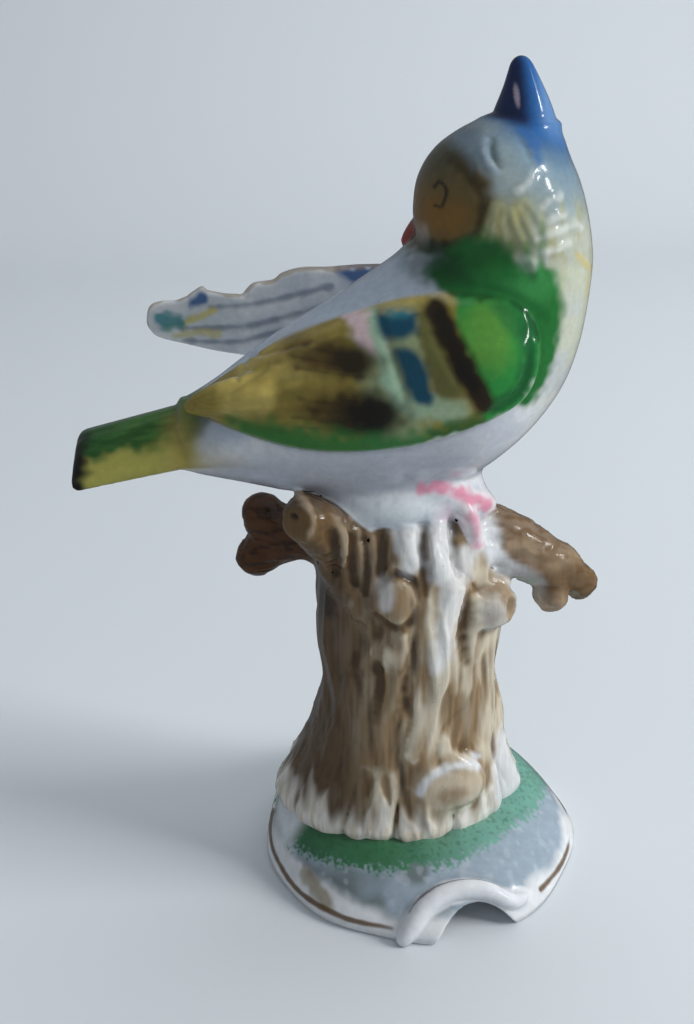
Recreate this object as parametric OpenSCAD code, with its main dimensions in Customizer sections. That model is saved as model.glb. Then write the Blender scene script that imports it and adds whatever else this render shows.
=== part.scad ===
// Porcelain figurine: a crested bird that preens on a tree stump, on a low domed base.
// Millimetres. +X is the way the breast faces, +Y is the bird's left side, +Z is up.
// The origin is the middle of the base, on the surface that the figurine stands on.
// Every piece is slip cast or pressed on its own and luted to its neighbours before firing.

/* [Base] */
// Width of the base across its rim
base_width = 51; // [42:0.5:62]
// Height of the flat seat that the stump stands on
base_height = 9.5; // [8:0.5:12]
// Height of the vertical lip round the rim
rim_lip = 1.4; // [0.8:0.1:2]
// Width of the arched notch in the front of the rim
notch_width = 11; // [8:0.5:14]
// Height of the arched notch
notch_height = 3.8; // [3:0.1:4.4]

/* [Stump] */
// Height of the stump above its seat
stump_height = 50.5; // [42:0.1:61]
// Width of the stump at its waist
stump_width = 27.6; // [23:0.1:33.2]
// Depth of the bark ridges
bark_relief = 0.7; // [0.2:0.1:1.1]

/* [Bird] */
// Length of the bird from the end of the tail to the breast
bird_length = 70; // [58:0.5:84]

/* [Shell and joints] */
// Thickness of the cast wall
wall = 2.4; // [1.8:0.1:3]
// Radius of the air vents between the hollows
vent_radius = 2.6; // [1.5:0.1:3.2]
// Radius of the tenons on the branches
tenon_radius = 2.2; // [1.6:0.05:2.7]
// How far each tenon reaches into the wall of the stump
tenon_length = 2.2; // [1.4:0.1:2.6]
// Gap round each tenon for slip
slip_gap = 0.15; // [0.1:0.05:0.3]

/* [Hidden] */
N = 48;
NB = 90;
kb = bird_length / 70;
kw = stump_width / 27.6;
kx = base_width / 51;
top = base_height + stump_height;
notch_at = -78;

white = [0.93, 0.94, 0.95];
brown = [0.60, 0.48, 0.34];
green = [0.25, 0.52, 0.24];
ochre = [0.80, 0.70, 0.38];
blue = [0.20, 0.33, 0.60];
pink = [0.85, 0.55, 0.60];

// ---- lofting ----------------------------------------------------------

function unit(v) = v / norm(v);
function mean(p) = [for (k = [0:2]) ([for (q = p) 1] * [for (q = p) q[k]]) / len(p)];
function sgn_pow(c, e) = sign(c) * pow(abs(c), e);
// a ring of n points round c, half sizes a along w and b along v; e below 1 squares it off
function ring(n, c, w, v, a, b, e = 1) =
  [for (i = [0:n - 1]) let (t = 360 * i / n)
    c + a * sgn_pow(cos(t), e) * w + b * sgn_pow(sin(t), e) * v];
function reverse(a) = [for (i = [len(a) - 1:-1:0]) a[i]];
function sides(n, i, j) =
  [for (k = [0:n - 1]) let (l = (k + 1) % n)
    each [[i * n + k, j * n + k, j * n + l], [i * n + k, j * n + l, i * n + l]]];

// a solid through a list of rings, closed at each end by a fan to a point
module loft(rings, p0 = undef, p1 = undef) {
  n = len(rings[0]);
  m = len(rings);
  a = is_undef(p0) ? mean(rings[0]) : p0;
  b = is_undef(p1) ? mean(rings[m - 1]) : p1;
  polyhedron(
    points = concat([for (r = rings) each r], [a, b]),
    faces = concat(
      [for (i = [0:m - 2]) each sides(n, i, i + 1)],
      [for (k = [0:n - 1]) [m * n, k, (k + 1) % n]],
      [for (k = [0:n - 1]) [m * n + 1, (m - 1) * n + (k + 1) % n, (m - 1) * n + k]]));
}

// a shell whose rings run up the outside and back down the inside, open at both ends
module shell(rings) {
  n = len(rings[0]);
  m = len(rings);
  polyhedron(
    points = [for (r = rings) each r],
    faces = [for (i = [0:m - 1]) each sides(n, i, (i + 1) % m)]);
}

// a round limb along a list of [x, y, z, radius]
function limb_rings(path, n = 16) =
  [for (i = [0:len(path) - 1])
    let (
      p = [path[i][0], path[i][1], path[i][2]],
      a = path[max(i - 1, 0)],
      b = path[min(i + 1, len(path) - 1)],
      d = unit([b[0] - a[0], b[1] - a[1], b[2] - a[2]]),
      w = unit(cross(d, [0, 1, 0.02])),
      v = cross(d, w))
    ring(n, p, w, v, path[i][3], path[i][3])];
module limb(path, n = 16) loft(limb_rings(path, n));

// a smooth bump, 1 in the middle and near 0 beyond s
function bump(d, s) = exp(-d * d / (s * s));
// the smallest angle between two bearings
function turn(a, b) = let (d = (a - b) % 360) d > 180 ? d - 360 : d < -180 ? d + 360 : d;

// ---- base -------------------------------------------------------------

// levels of the dome above the lip: [height share, half width, half depth, centre x, centre y]
base_out = [
  [0.08, 24.8, 24.8, 0, 0],
  [0.28, 23.9, 23.7, -0.2, 0.3],
  [0.55, 22.6, 21.6, -0.8, 1.0],
  [0.80, 21.2, 19.2, -1.4, 2.0],
  [0.95, 20.2, 17.6, -1.8, 2.6],
  [1.00, 19.6, 17.0, -2.0, 2.8]];
// the rolled band that follows the arch of the notch, 1 on its crest and 0 away from it
function roll(t, s) = let (d = turn(t, notch_at) / 15)
  bump(sqrt(d * d + s * s / 0.3) - 1, 0.35);
function lobe(t) = 0.3 * cos(5 * t + 40) - 0.9 * bump(turn(t, notch_at), 34);
function base_ring(z, rx, ry, cx, cy, s, out = 1) =
  [for (i = [0:NB - 1]) let (t = 360 * i / NB, g = lobe(t) * (1 - s) + 0.9 * roll(t, s) * out)
    [kx * (cx + (rx + g) * cos(t)), kx * (cy + (ry + g) * sin(t)), z]];
function hole_ring(z) = [for (i = [0:NB - 1]) let (t = 360 * i / NB)
  [kx * (-2.2 + 13.4 * cos(t)), kx * (2.8 + 10.8 * sin(t)), z]];
function base_rings() = concat(
  [base_ring(-0.6, 25.1, 25.1, 0, 0, 0), base_ring(rim_lip, 25.5, 25.5, 0, 0, 0.15)],
  [for (r = base_out) base_ring(rim_lip + r[0] * (base_height - rim_lip),
    r[1], r[2], r[3], r[4], 0.15 + 0.85 * r[0])],
  [hole_ring(base_height), hole_ring(base_height - wall)],
  [base_ring(base_height - wall, 17.4, 14.7, -1.9, 2.6, 0.95, 0),
   base_ring(rim_lip + (base_height - rim_lip) * 0.45, 20.6, 19.6, -0.7, 0.9, 0.5, 0),
   base_ring(-0.6, 22.4, 22.4, 0, 0, 0, 0)]);
// the circle whose top makes the arched notch
notch_r = (pow(notch_width / 2, 2) + pow(notch_height, 2)) / (2 * notch_height);

module base_plinth() {
  color(white) difference() {
    shell(base_rings());
    translate([-60, -60, -5]) cube([120, 120, 5]);
    rotate([0, 0, notch_at]) translate([kx * 14, 0, notch_height - notch_r])
      rotate([0, 90, 0]) cylinder(r = notch_r, h = 40, $fn = 64);
  }
}

// ---- stump ------------------------------------------------------------

// levels of the stump: [height share, half width, half depth, centre x, centre y]
stump_out = [
  [0.00, 19.2, 16.4, -2.2, 2.8],
  [0.025, 19.4, 16.6, -2.2, 2.8],
  [0.07, 18.6, 15.8, -2.3, 2.4],
  [0.15, 17.2, 14.4, -2.5, 1.6],
  [0.25, 15.6, 13.2, -2.3, 1.0],
  [0.36, 14.4, 12.6, -2.1, 0.6],
  [0.48, 13.9, 12.3, -2.2, 0.3],
  [0.60, 13.8, 12.2, -2.4, 0.1],
  [0.72, 13.7, 12.1, -2.8, 0],
  [0.83, 13.5, 12.0, -3.4, 0],
  [0.92, 13.0, 11.6, -4.0, 0],
  [0.98, 12.4, 11.0, -4.5, 0],
  [1.00, 11.6, 10.2, -4.5, 0]];
stump_in = [
  [0.94, 8.6, 7.6, -4.4, 0],
  [0.84, 10.0, 8.8, -3.4, 0],
  [0.60, 10.4, 9.0, -2.4, 0.1],
  [0.36, 10.9, 9.2, -2.1, 0.6],
  [0.15, 13.4, 10.8, -2.5, 1.6],
  [0.00, 15.4, 12.6, -2.2, 2.8]];
// bark: ridges that wander as they climb, fading into the foot and the top
function bark(t, s) =
  bark_relief * sin(min(1, s * 6) * 90) * sin(min(1, (1 - s) * 12) * 90) *
  (cos(7 * t + 50 * sin(430 * s)) + 0.7 * cos(12 * t - 70 * sin(300 * s + 40)));
// two burls on the front: the upper one small, the lower one broad
function burl(t, s) =
  1.3 * bump(turn(t, -108), 9) * bump((s - 0.88) * 50, 2.6) +
  2.2 * bump(turn(t, -62), 17) * bump((s - 0.23) * 50, 4.2);
// the foot takes its width from the seat on the base, and the rest from the stump's own width
function width_at(s) = let (m = min(1, s / 0.36)) kx + (kw - kx) * m * m * (3 - 2 * m);
function stump_ring(s, rx, ry, cx, cy, out = 1) =
  [for (i = [0:N - 1]) let (t = 360 * i / N, g = out * (bark(t, s) + burl(t, s)), k = width_at(s))
    [k * (cx + (rx + g) * cos(t)), k * (cy + (ry + g) * sin(t)), base_height + s * stump_height]];
function stump_outer_rings() = [for (r = stump_out) stump_ring(r[0], r[1], r[2], r[3], r[4])];
function vent_ring(z) = [for (i = [0:N - 1]) let (t = 360 * i / N)
  [kw * -4.5 + (vent_radius + 0.6) * cos(t), (vent_radius + 0.6) * sin(t), z]];
module stump_solid() loft(stump_outer_rings());

// a point on the stump, from a share of its height
function on_stump(x, y, z) = [kw * x, kw * y, base_height + (z - 9.5) / 50.5 * stump_height];
function limb_on_stump(path) = [for (p = path) concat(on_stump(p[0], p[1], p[2]), [p[3]])];

right_path = limb_on_stump([[1, -2, 56, 5.4], [8.2, -2, 56.4, 5.4], [13, -2.5, 54.4, 4.5],
  [17, -2.9, 51.8, 3.9], [20.2, -3, 49.8, 3.5], [22, -3, 48.2, 3.1], [23.2, -3, 47.2, 1.8]]);
right_knob = limb_on_stump([[18.6, -3.2, 50.6, 3.0], [17.8, -3.9, 47.6, 3.0],
  [17.4, -4.2, 45.6, 2.5], [17.3, -4.3, 44.4, 1.3]]);
left_path = limb_on_stump([[-9, 5, 51.4, 3.4], [-14.5, 7, 52.4, 3.6], [-19, 8.4, 52.4, 3.2],
  [-22.8, 9, 50.4, 2.6], [-25.4, 9, 48.4, 2.5], [-26.4, 9, 47.4, 1.4]]);
left_knob = limb_on_stump([[-19.4, 8.4, 52.8, 2.6], [-22.4, 9, 54.8, 2.4],
  [-23.8, 9, 57.0, 2.3], [-24.2, 9, 58.0, 1.2]]);
knot_path = limb_on_stump([[-10, -4, 56.4, 4.4], [-14.2, -6.2, 58.8, 4.4],
  [-17.4, -8.2, 60.9, 4.1], [-19.2, -9.4, 62.2, 3.4], [-19.7, -9.8, 62.6, 2.2]]);
boss_path = limb_on_stump([[3, -4, 47, 4.4], [7.8, -6.0, 47, 4.0], [9.4, -7.3, 46.9, 3.4],
  [9.9, -7.8, 46.8, 2.2]]);

// where a limb leaves the stump wall, and the way that it points there
function joint_dir(path) = unit([for (k = [0:2]) path[1][k] - path[0][k]]);
// a peg from just inside a limb's root back into the stump wall, grown by g
module peg(path, depth, g = 0) {
  d = joint_dir(path);
  at = [path[1][0], path[1][1], path[1][2]];
  translate(at)
    rotate([0, acos(d[2]), atan2(d[1], d[0])])
      translate([0, 0, -depth])
        cylinder(r = tenon_radius + g, h = depth + 1.5, $fn = 32);
}
// a socket goes right through the wall, so it is deeper than the tenon
socket_depth = tenon_length + 3;

module stump() {
  color(brown) difference() {
    shell(concat(stump_outer_rings(), [vent_ring(top), vent_ring(top - wall)],
      [for (r = stump_in) stump_ring(r[0], r[1] - wall + 2.4, r[2] - wall + 2.4, r[3], r[4], 0)]));
    peg(right_path, socket_depth, slip_gap);
    peg(left_path, socket_depth, slip_gap);
    peg(boss_path, socket_depth, slip_gap);
  }
}

module right_branch() {
  color(brown) {
    difference() {
      union() {
        limb(right_path);
        limb(right_knob, 12);
      }
      stump_solid();
      torso_solid();
    }
    peg(right_path, tenon_length);
  }
}
module left_branch() {
  color(brown) {
    difference() {
      union() {
        limb(left_path);
        limb(left_knob, 12);
      }
      stump_solid();
      torso_solid();
    }
    peg(left_path, tenon_length);
  }
}
module left_knot() {
  d = joint_dir([knot_path[2], knot_path[3]]);
  color(brown) difference() {
    limb(knot_path);
    stump_solid();
    torso_solid();
    // the small pith hole in the sawn end
    translate([knot_path[4][0], knot_path[4][1], knot_path[4][2]])
      rotate([0, acos(d[2]), atan2(d[1], d[0])])
        translate([0, 0, -2]) cylinder(r = 0.9, h = 5, $fn = 24);
  }
}
module right_boss() {
  color(brown) difference() {
    union() {
      difference() {
        limb(boss_path);
        stump_solid();
      }
      peg(boss_path, tenon_length);
    }
    limb(right_path);
  }
}

// ---- bird -------------------------------------------------------------

// the bird's own frame: above the middle of the stump's top, at the bird's scale
function on_bird(p) = [kb * p[0], kb * p[1], top + kb * p[2]];
// a cross-section in the plane of symmetry, from a low front point to a high back point
function section(s, shrink = 0, n = 36) =
  let (
    lo = on_bird([s[0], 0, s[1]]),
    hi = on_bird([s[2], 0, s[3]]),
    w = unit(hi - lo))
  ring(n, (lo + hi) / 2, w, [0, 1, 0] * -1, norm(hi - lo) / 2 - shrink, kb * s[4] - shrink);

// [low x, low z, high x, high z, half width] from the rump to the neck
torso = [
  [-33.6, 7.8, -33.8, 16.4, 6.0],
  [-27.2, 6.0, -28.4, 21.0, 8.2],
  [-18.2, 3.5, -21.4, 26.0, 10.9],
  [-8.0, 2.2, -14.4, 30.4, 12.4],
  [3.2, 4.2, -8.8, 34.0, 13.0],
  [11.2, 9.6, -5.8, 36.0, 12.8],
  [17.0, 16.6, -4.4, 37.2, 12.2],
  [19.8, 24.0, -3.5, 38.0, 11.4],
  [20.8, 33.5, -2.8, 38.6, 10.7]];
head = [
  [20.8, 33.5, -2.8, 38.6, 10.7],
  [20.3, 38.6, -3.2, 42.0, 10.6],
  [18.7, 44.2, -2.8, 46.0, 10.2],
  [16.5, 48.6, -0.8, 49.4, 8.7],
  [13.6, 51.4, 2.6, 51.9, 6.2],
  [11.2, 52.8, 5.6, 53.0, 3.4]];
rump_end = on_bird([-34.8, 0, 12.1]);
crown_end = on_bird([8.4, 0, 53.4]);

module skirt() {
  loft([
    // the foot of the skirt is as wide as the top of the stump lets it be
    ring(N, [kw * -5.0, 0, top], [1, 0, 0], [0, 1, 0], kw * 11.0, kw * 8.8),
    ring(N, on_bird([-5.6, 0, 1.0]), [1, 0, 0], [0, 1, 0], kb * 10.6, kb * 8.2),
    ring(N, on_bird([-5.6, 0, 2.6]), [1, 0, 0], [0, 1, 0], kb * 10.2, kb * 8.0),
    ring(N, on_bird([-5.6, 0, 6.5]), [1, 0, 0], [0, 1, 0], kb * 9.0, kb * 7.4)]);
}
module torso_solid() {
  loft([for (s = torso) section(s)], rump_end);
  skirt();
}
module bird_torso() {
  color(white) difference() {
    union() {
      loft(
        concat([for (t = torso) section(t)], [for (i = [8:-1:1]) section(torso[i], wall)]),
        p0 = rump_end,
        p1 = mean(section(torso[1], wall)) - [0.6, 0, 0]);
      skirt();
    }
    // the vent from the stump's hollow up into the body
    translate([kw * -4.5, 0, top - 1]) cylinder(r = vent_radius, h = kb * 12, $fn = 40);
  }
}
module head_solid() loft([for (s = head) section(s)], p1 = crown_end);
module bird_head() {
  color(ochre) loft(
    concat([for (i = [4:-1:0]) section(head[i], wall)], [for (s = head) section(s)]),
    p0 = mean(section(head[4], wall)) + [0, 0, 0.3],
    p1 = crown_end);
}

// a squared-off cone that stands on the crown
crest_st = [
  [15.6, 49.4, 4.4, 50.6, 4.2],
  [14.6, 52.6, 5.6, 53.2, 3.4],
  [13.8, 54.8, 6.9, 54.9, 2.5],
  [12.6, 57.0, 7.8, 57.0, 1.7],
  [11.0, 59.2, 8.6, 59.2, 0.9]];
module crest() {
  color(blue) difference() {
    loft([for (s = crest_st) section(s, 0, 20)], p1 = on_bird([9.7, 0, 60]));
    head_solid();
  }
}

// the beak points back over the left shoulder and down
beak_path = [[0.8, 5.0, 39.8, 2.9], [-1.4, 6.5, 37.6, 2.1], [-3.4, 8.0, 35.8, 1.2]];
beak_tip = [-4.8, 9.0, 34.6];
function bird_path(p) = [for (q = p) concat(on_bird(q), [kb * q[3]])];
module beak() {
  color(ochre) difference() {
    loft(limb_rings(bird_path(beak_path), 12), p1 = on_bird(beak_tip));
    head_solid();
    torso_solid();
  }
}

// a wing: sections from the tip to the shoulder,
// [upper edge x, z, y, lower edge x, z, y, half thickness]
function wing_rings(st, side) = [for (s = st)
  let (
    hi = on_bird([s[0], s[2], s[1]]),
    lo = on_bird([s[3], s[5], s[4]]),
    w = unit(hi - lo),
    v = unit(cross([1, 0, 0.25], w)))
  ring(24, (lo + hi) / 2, w, -v, norm(hi - lo) / 2, kb * s[6])];

near_wing_st = [
  [-35.6, 19.4, -6.6, -35.4, 18.2, -7.4, 0.7],
  [-31.6, 21.8, -6.6, -31.8, 17.6, -8.4, 1.6],
  [-26.0, 25.0, -6.4, -26.0, 15.9, -9.6, 2.4],
  [-19.6, 28.2, -6.4, -19.6, 14.4, -11.0, 3.2],
  [-13.0, 30.6, -6.6, -13.2, 14.0, -12.0, 3.6],
  [-6.2, 32.2, -7.0, -6.4, 14.4, -12.6, 3.6],
  [-0.2, 33.8, -7.4, 0.4, 16.0, -13.0, 3.4],
  [5.0, 35.2, -7.8, 6.0, 18.4, -12.6, 3.0],
  [9.4, 35.4, -8.6, 10.4, 21.6, -11.6, 2.4],
  [12.6, 32.6, -9.4, 12.8, 26.0, -10.6, 1.0]];
module near_wing() {
  color(green) difference() {
    loft(wing_rings(near_wing_st, -1));
    torso_solid();
    head_solid();
    tail_solid();
  }
}

// the left wing stands off the body; its upper edge steps down from feather to feather
far_wing_st = [
  [-39.4, 25.2, 18.0, -38.9, 22.6, 18.0, 0.8],
  [-36.6, 27.0, 17.6, -36.0, 21.4, 17.8, 1.3],
  [-31.4, 28.4, 17.0, -31.0, 20.2, 17.2, 1.6],
  [-30.0, 27.9, 16.9, -29.6, 19.9, 17.0, 1.6],
  [-25.2, 29.6, 16.1, -24.8, 18.8, 16.2, 1.8],
  [-23.6, 29.2, 15.8, -23.2, 18.5, 16.0, 1.8],
  [-19.2, 31.4, 15.1, -18.6, 18.0, 15.2, 1.9],
  [-17.6, 31.0, 14.8, -17.2, 18.0, 15.0, 1.9],
  [-11.4, 32.4, 13.6, -10.8, 18.6, 14.0, 2.0],
  [-4.0, 32.6, 11.8, -3.5, 20.0, 12.8, 2.2],
  [3.0, 31.0, 9.6, 3.5, 22.0, 10.8, 2.4]];
module far_wing() {
  color(blue) difference() {
    loft(wing_rings(far_wing_st, 1));
    torso_solid();
  }
}

// the tail: squared sections [x, z, half thickness, half width]
tail_st = [
  [-29.0, 12.8, 3.0, 5.4],
  [-34.0, 12.2, 2.9, 5.9],
  [-39.0, 11.3, 2.6, 6.4],
  [-44.0, 10.5, 2.4, 6.9],
  [-48.6, 9.8, 2.2, 7.2],
  [-49.0, 9.7, 1.7, 6.8]];
module tail_solid() {
  loft([for (s = tail_st) ring(28, on_bird([s[0], 0, s[1]]), [0, 0, 1], [0, 1, 0],
    kb * s[2], kb * s[3], 0.55)]);
}
module tail() {
  color(green) difference() {
    tail_solid();
    torso_solid();
  }
}

// each foot is a thin roll of clay: it leaves the body and ends on the root of the branch or the
// stump's edge, so its first point follows the bird and the others follow the stump
function foot_path(p) = [for (i = [0:len(p) - 1]) let (q = p[i])
  i == 0 ? concat(on_bird(q), [q[3]]) : [kw * q[0], kw * q[1], top + q[2], q[3]]];
near_leg = [[-0.5, -6.4, 4.4, 1.2], [3.4, -7.0, 2.6, 1.1], [7.4, -5.4, 1.8, 0.9],
  [9.6, -4.4, 0.8, 0.6]];
near_toe = [[2.6, -7.0, 2.8, 1.0], [4.4, -7.8, 1.2, 1.0], [5.2, -8.0, -1.2, 0.7]];
far_leg = [[-0.5, 6.2, 4.4, 1.2], [2.4, 6.2, 1.9, 1.1], [4.6, 5.0, 0.7, 0.9],
  [6.0, 4.2, 0.1, 0.6]];
far_toe = [[0.6, 6.4, 3.0, 1.0], [1.8, 7.2, 0.8, 0.9], [2.4, 7.8, 0.1, 0.6]];
module foot(leg, toe) {
  color(pink) difference() {
    for (p = [leg, toe]) limb(foot_path(p), 10);
    stump_solid();
    torso_solid();
    limb(right_path);
  }
}
module near_foot() foot(near_leg, near_toe);
module far_foot() foot(far_leg, far_toe);

// ---- pieces -----------------------------------------------------------

base_plinth();
stump();
left_branch();
right_branch();
left_knot();
right_boss();
bird_torso();
bird_head();
crest();
beak();
near_wing();
far_wing();
tail();
near_foot();
far_foot();
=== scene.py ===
"""Looks of a glazed porcelain bird on a tree stump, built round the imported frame.

The figurine's lengths are in millimetres until piece() turns a finished mesh into metres.
The stage, the lamps and the camera are in metres.
+X is the way the breast faces, -Y is the bird's right side, and +Z is up.
The porcelain is modelled as distance fields on a fine grid, one field for each moulded form,
melted together with a small radius as glaze melts over a luted joint.
"""
import math

import bpy
import numpy as np
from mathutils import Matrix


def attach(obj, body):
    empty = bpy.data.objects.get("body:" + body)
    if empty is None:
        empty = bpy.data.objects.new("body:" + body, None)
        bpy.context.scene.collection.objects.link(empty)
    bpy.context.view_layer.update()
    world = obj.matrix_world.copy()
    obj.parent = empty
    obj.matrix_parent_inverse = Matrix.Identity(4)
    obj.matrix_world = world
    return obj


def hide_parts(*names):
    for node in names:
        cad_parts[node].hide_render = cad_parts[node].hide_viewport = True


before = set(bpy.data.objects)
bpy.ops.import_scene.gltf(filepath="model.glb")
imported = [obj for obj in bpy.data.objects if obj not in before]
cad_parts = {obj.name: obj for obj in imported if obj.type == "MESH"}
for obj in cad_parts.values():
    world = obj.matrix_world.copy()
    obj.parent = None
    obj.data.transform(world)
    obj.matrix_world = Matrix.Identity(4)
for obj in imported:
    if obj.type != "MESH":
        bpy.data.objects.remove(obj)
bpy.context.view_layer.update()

import openvdb
from mathutils import Vector

MM = 0.001
# the grid of the bird and the stump, and the finer one of the far wing and the base
CELL = 0.3
FINE = 0.22
FAR = 4.0  # the field's value away from every form
rng = np.random.default_rng(11)


# ---- numbers ------------------------------------------------------------


def tone(r, g, b):
    """A colour given as it looks on a screen, 0 to 255, as linear light."""
    c = np.array([r, g, b], float) / 255
    return np.where(c <= 0.04045, c / 12.92, ((c + 0.055) / 1.055) ** 2.4)


def smooth(low, high, v):
    """0 at low, 1 at high and eased between them. low may be the greater of the two."""
    t = np.clip((v - low) / (high - low), 0, 1)
    return t * t * (3 - 2 * t)


def melt(a, b, k):
    """The union of two distances with a fillet of about k."""
    h = np.clip(0.5 + 0.5 * (b - a) / k, 0, 1)
    return b + (a - b) * h - k * h * (1 - h)


def both(a, b, k):
    """The intersection of two distances with an edge rounded by about k."""
    return -melt(-a, -b, k)


LATTICE = rng.random((32, 32, 32)).astype(np.float32)


def noise(x, y, z, size, shift=0.0):
    """Smooth noise from 0 to 1. size is the grain in mm, one number or three."""
    sx, sy, sz = (size,) * 3 if np.isscalar(size) else size
    total = 0
    cells = []
    for v, s in ((x, sx), (y, sy), (z, sz)):
        q = np.asarray(v) / s + shift
        i = np.floor(q).astype(int)
        f = q - i
        f = f * f * (3 - 2 * f)
        cells.append(((i % 32, 1 - f), ((i + 1) % 32, f)))
    for ix, wx in cells[0]:
        for iy, wy in cells[1]:
            for iz, wz in cells[2]:
                total = total + LATTICE[ix, iy, iz] * (wx * wy * wz)
    return total


def curve(points, steps=8):
    """A smooth line through the points, whatever numbers each point holds."""
    p = np.array(points, float)
    q = np.vstack([2 * p[0] - p[1], p, 2 * p[-1] - p[-2]])
    out = []
    for i in range(len(p) - 1):
        a, b, c, d = q[i : i + 4]
        for t in np.arange(steps) / steps:
            out.append(
                b
                + 0.5 * t * (c - a + t * (2 * a - 5 * b + 4 * c - d + t * (3 * (b - c) + d - a)))
            )
    out.append(p[-1])
    return np.array(out)


def outline(points, steps=5):
    """A smooth closed outline through the points."""
    p = list(points)
    return curve([p[-1]] + p + [p[0], p[1]], steps)[steps : -steps - 1]


def patch(u, v, loop):
    """Signed distance in a plane from a closed outline, negative inside."""
    u, v = np.broadcast_arrays(np.asarray(u, float), np.asarray(v, float))
    best = np.full(u.shape, 1e9)
    sign = np.ones(u.shape)
    for i in range(len(loop)):
        (ax, ay), (bx, by) = loop[i], loop[i - 1]
        ex, ey = bx - ax, by - ay
        wx, wy = u - ax, v - ay
        t = np.clip((wx * ex + wy * ey) / (ex * ex + ey * ey + 1e-12), 0, 1)
        best = np.minimum(best, (wx - ex * t) ** 2 + (wy - ey * t) ** 2)
        up = (v >= ay) & (v < by)
        down = (v < ay) & (v >= by)
        side = ex * wy - ey * wx
        sign = np.where((up & (side > 0)) | (down & (side < 0)), -sign, sign)
    return sign * np.sqrt(best)


def along(p, path):
    """Distance from the points p to a line of points, and how far along it the nearest place is."""
    path = np.array(path, float)
    best = np.full(len(p), 1e9)
    place = np.zeros(len(p))
    for i in range(len(path) - 1):
        a, b = path[i, :3], path[i + 1, :3]
        e = b - a
        t = np.clip(((p - a) @ e) / (e @ e + 1e-12), 0, 1)
        d = np.linalg.norm(p - a - t[:, None] * e, axis=1)
        place = np.where(d < best, i + t, place)
        best = np.minimum(best, d)
    return best, place / (len(path) - 1)


# ---- forms on a grid ------------------------------------------------------


def cone(a, b):
    """A round limb between two balls (x, y, z, r)."""
    a, b = np.array(a, float), np.array(b, float)
    e = (b - a)[:3]
    r = max(a[3], b[3])
    low, high = np.minimum(a, b)[:3] - r, np.maximum(a, b)[:3] + r

    def field(x, y, z):
        dx, dy, dz = x - a[0], y - a[1], z - a[2]
        t = np.clip((dx * e[0] + dy * e[1] + dz * e[2]) / (e @ e + 1e-9), 0, 1)
        gap = np.sqrt((dx - t * e[0]) ** 2 + (dy - t * e[1]) ** 2 + (dz - t * e[2]) ** 2)
        return gap - a[3] - t * (b[3] - a[3])

    return low, high, field


def limb(points, steps=3):
    """A smooth limb through balls (x, y, z, r)."""
    line = curve(points, steps)
    return [cone(line[i], line[i + 1]) for i in range(len(line) - 1)]


def ball(centre, radii):
    """An ellipsoid."""
    c, r = np.array(centre, float), np.array(radii, float)

    def field(x, y, z):
        u, v, w = (x - c[0]) / r[0], (y - c[1]) / r[1], (z - c[2]) / r[2]
        k0 = np.sqrt(u * u + v * v + w * w)
        k1 = np.sqrt((u / r[0]) ** 2 + (v / r[1]) ** 2 + (w / r[2]) ** 2)
        return k0 * (k0 - 1) / (k1 + 1e-6)

    return c - r, c + r, field


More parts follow.
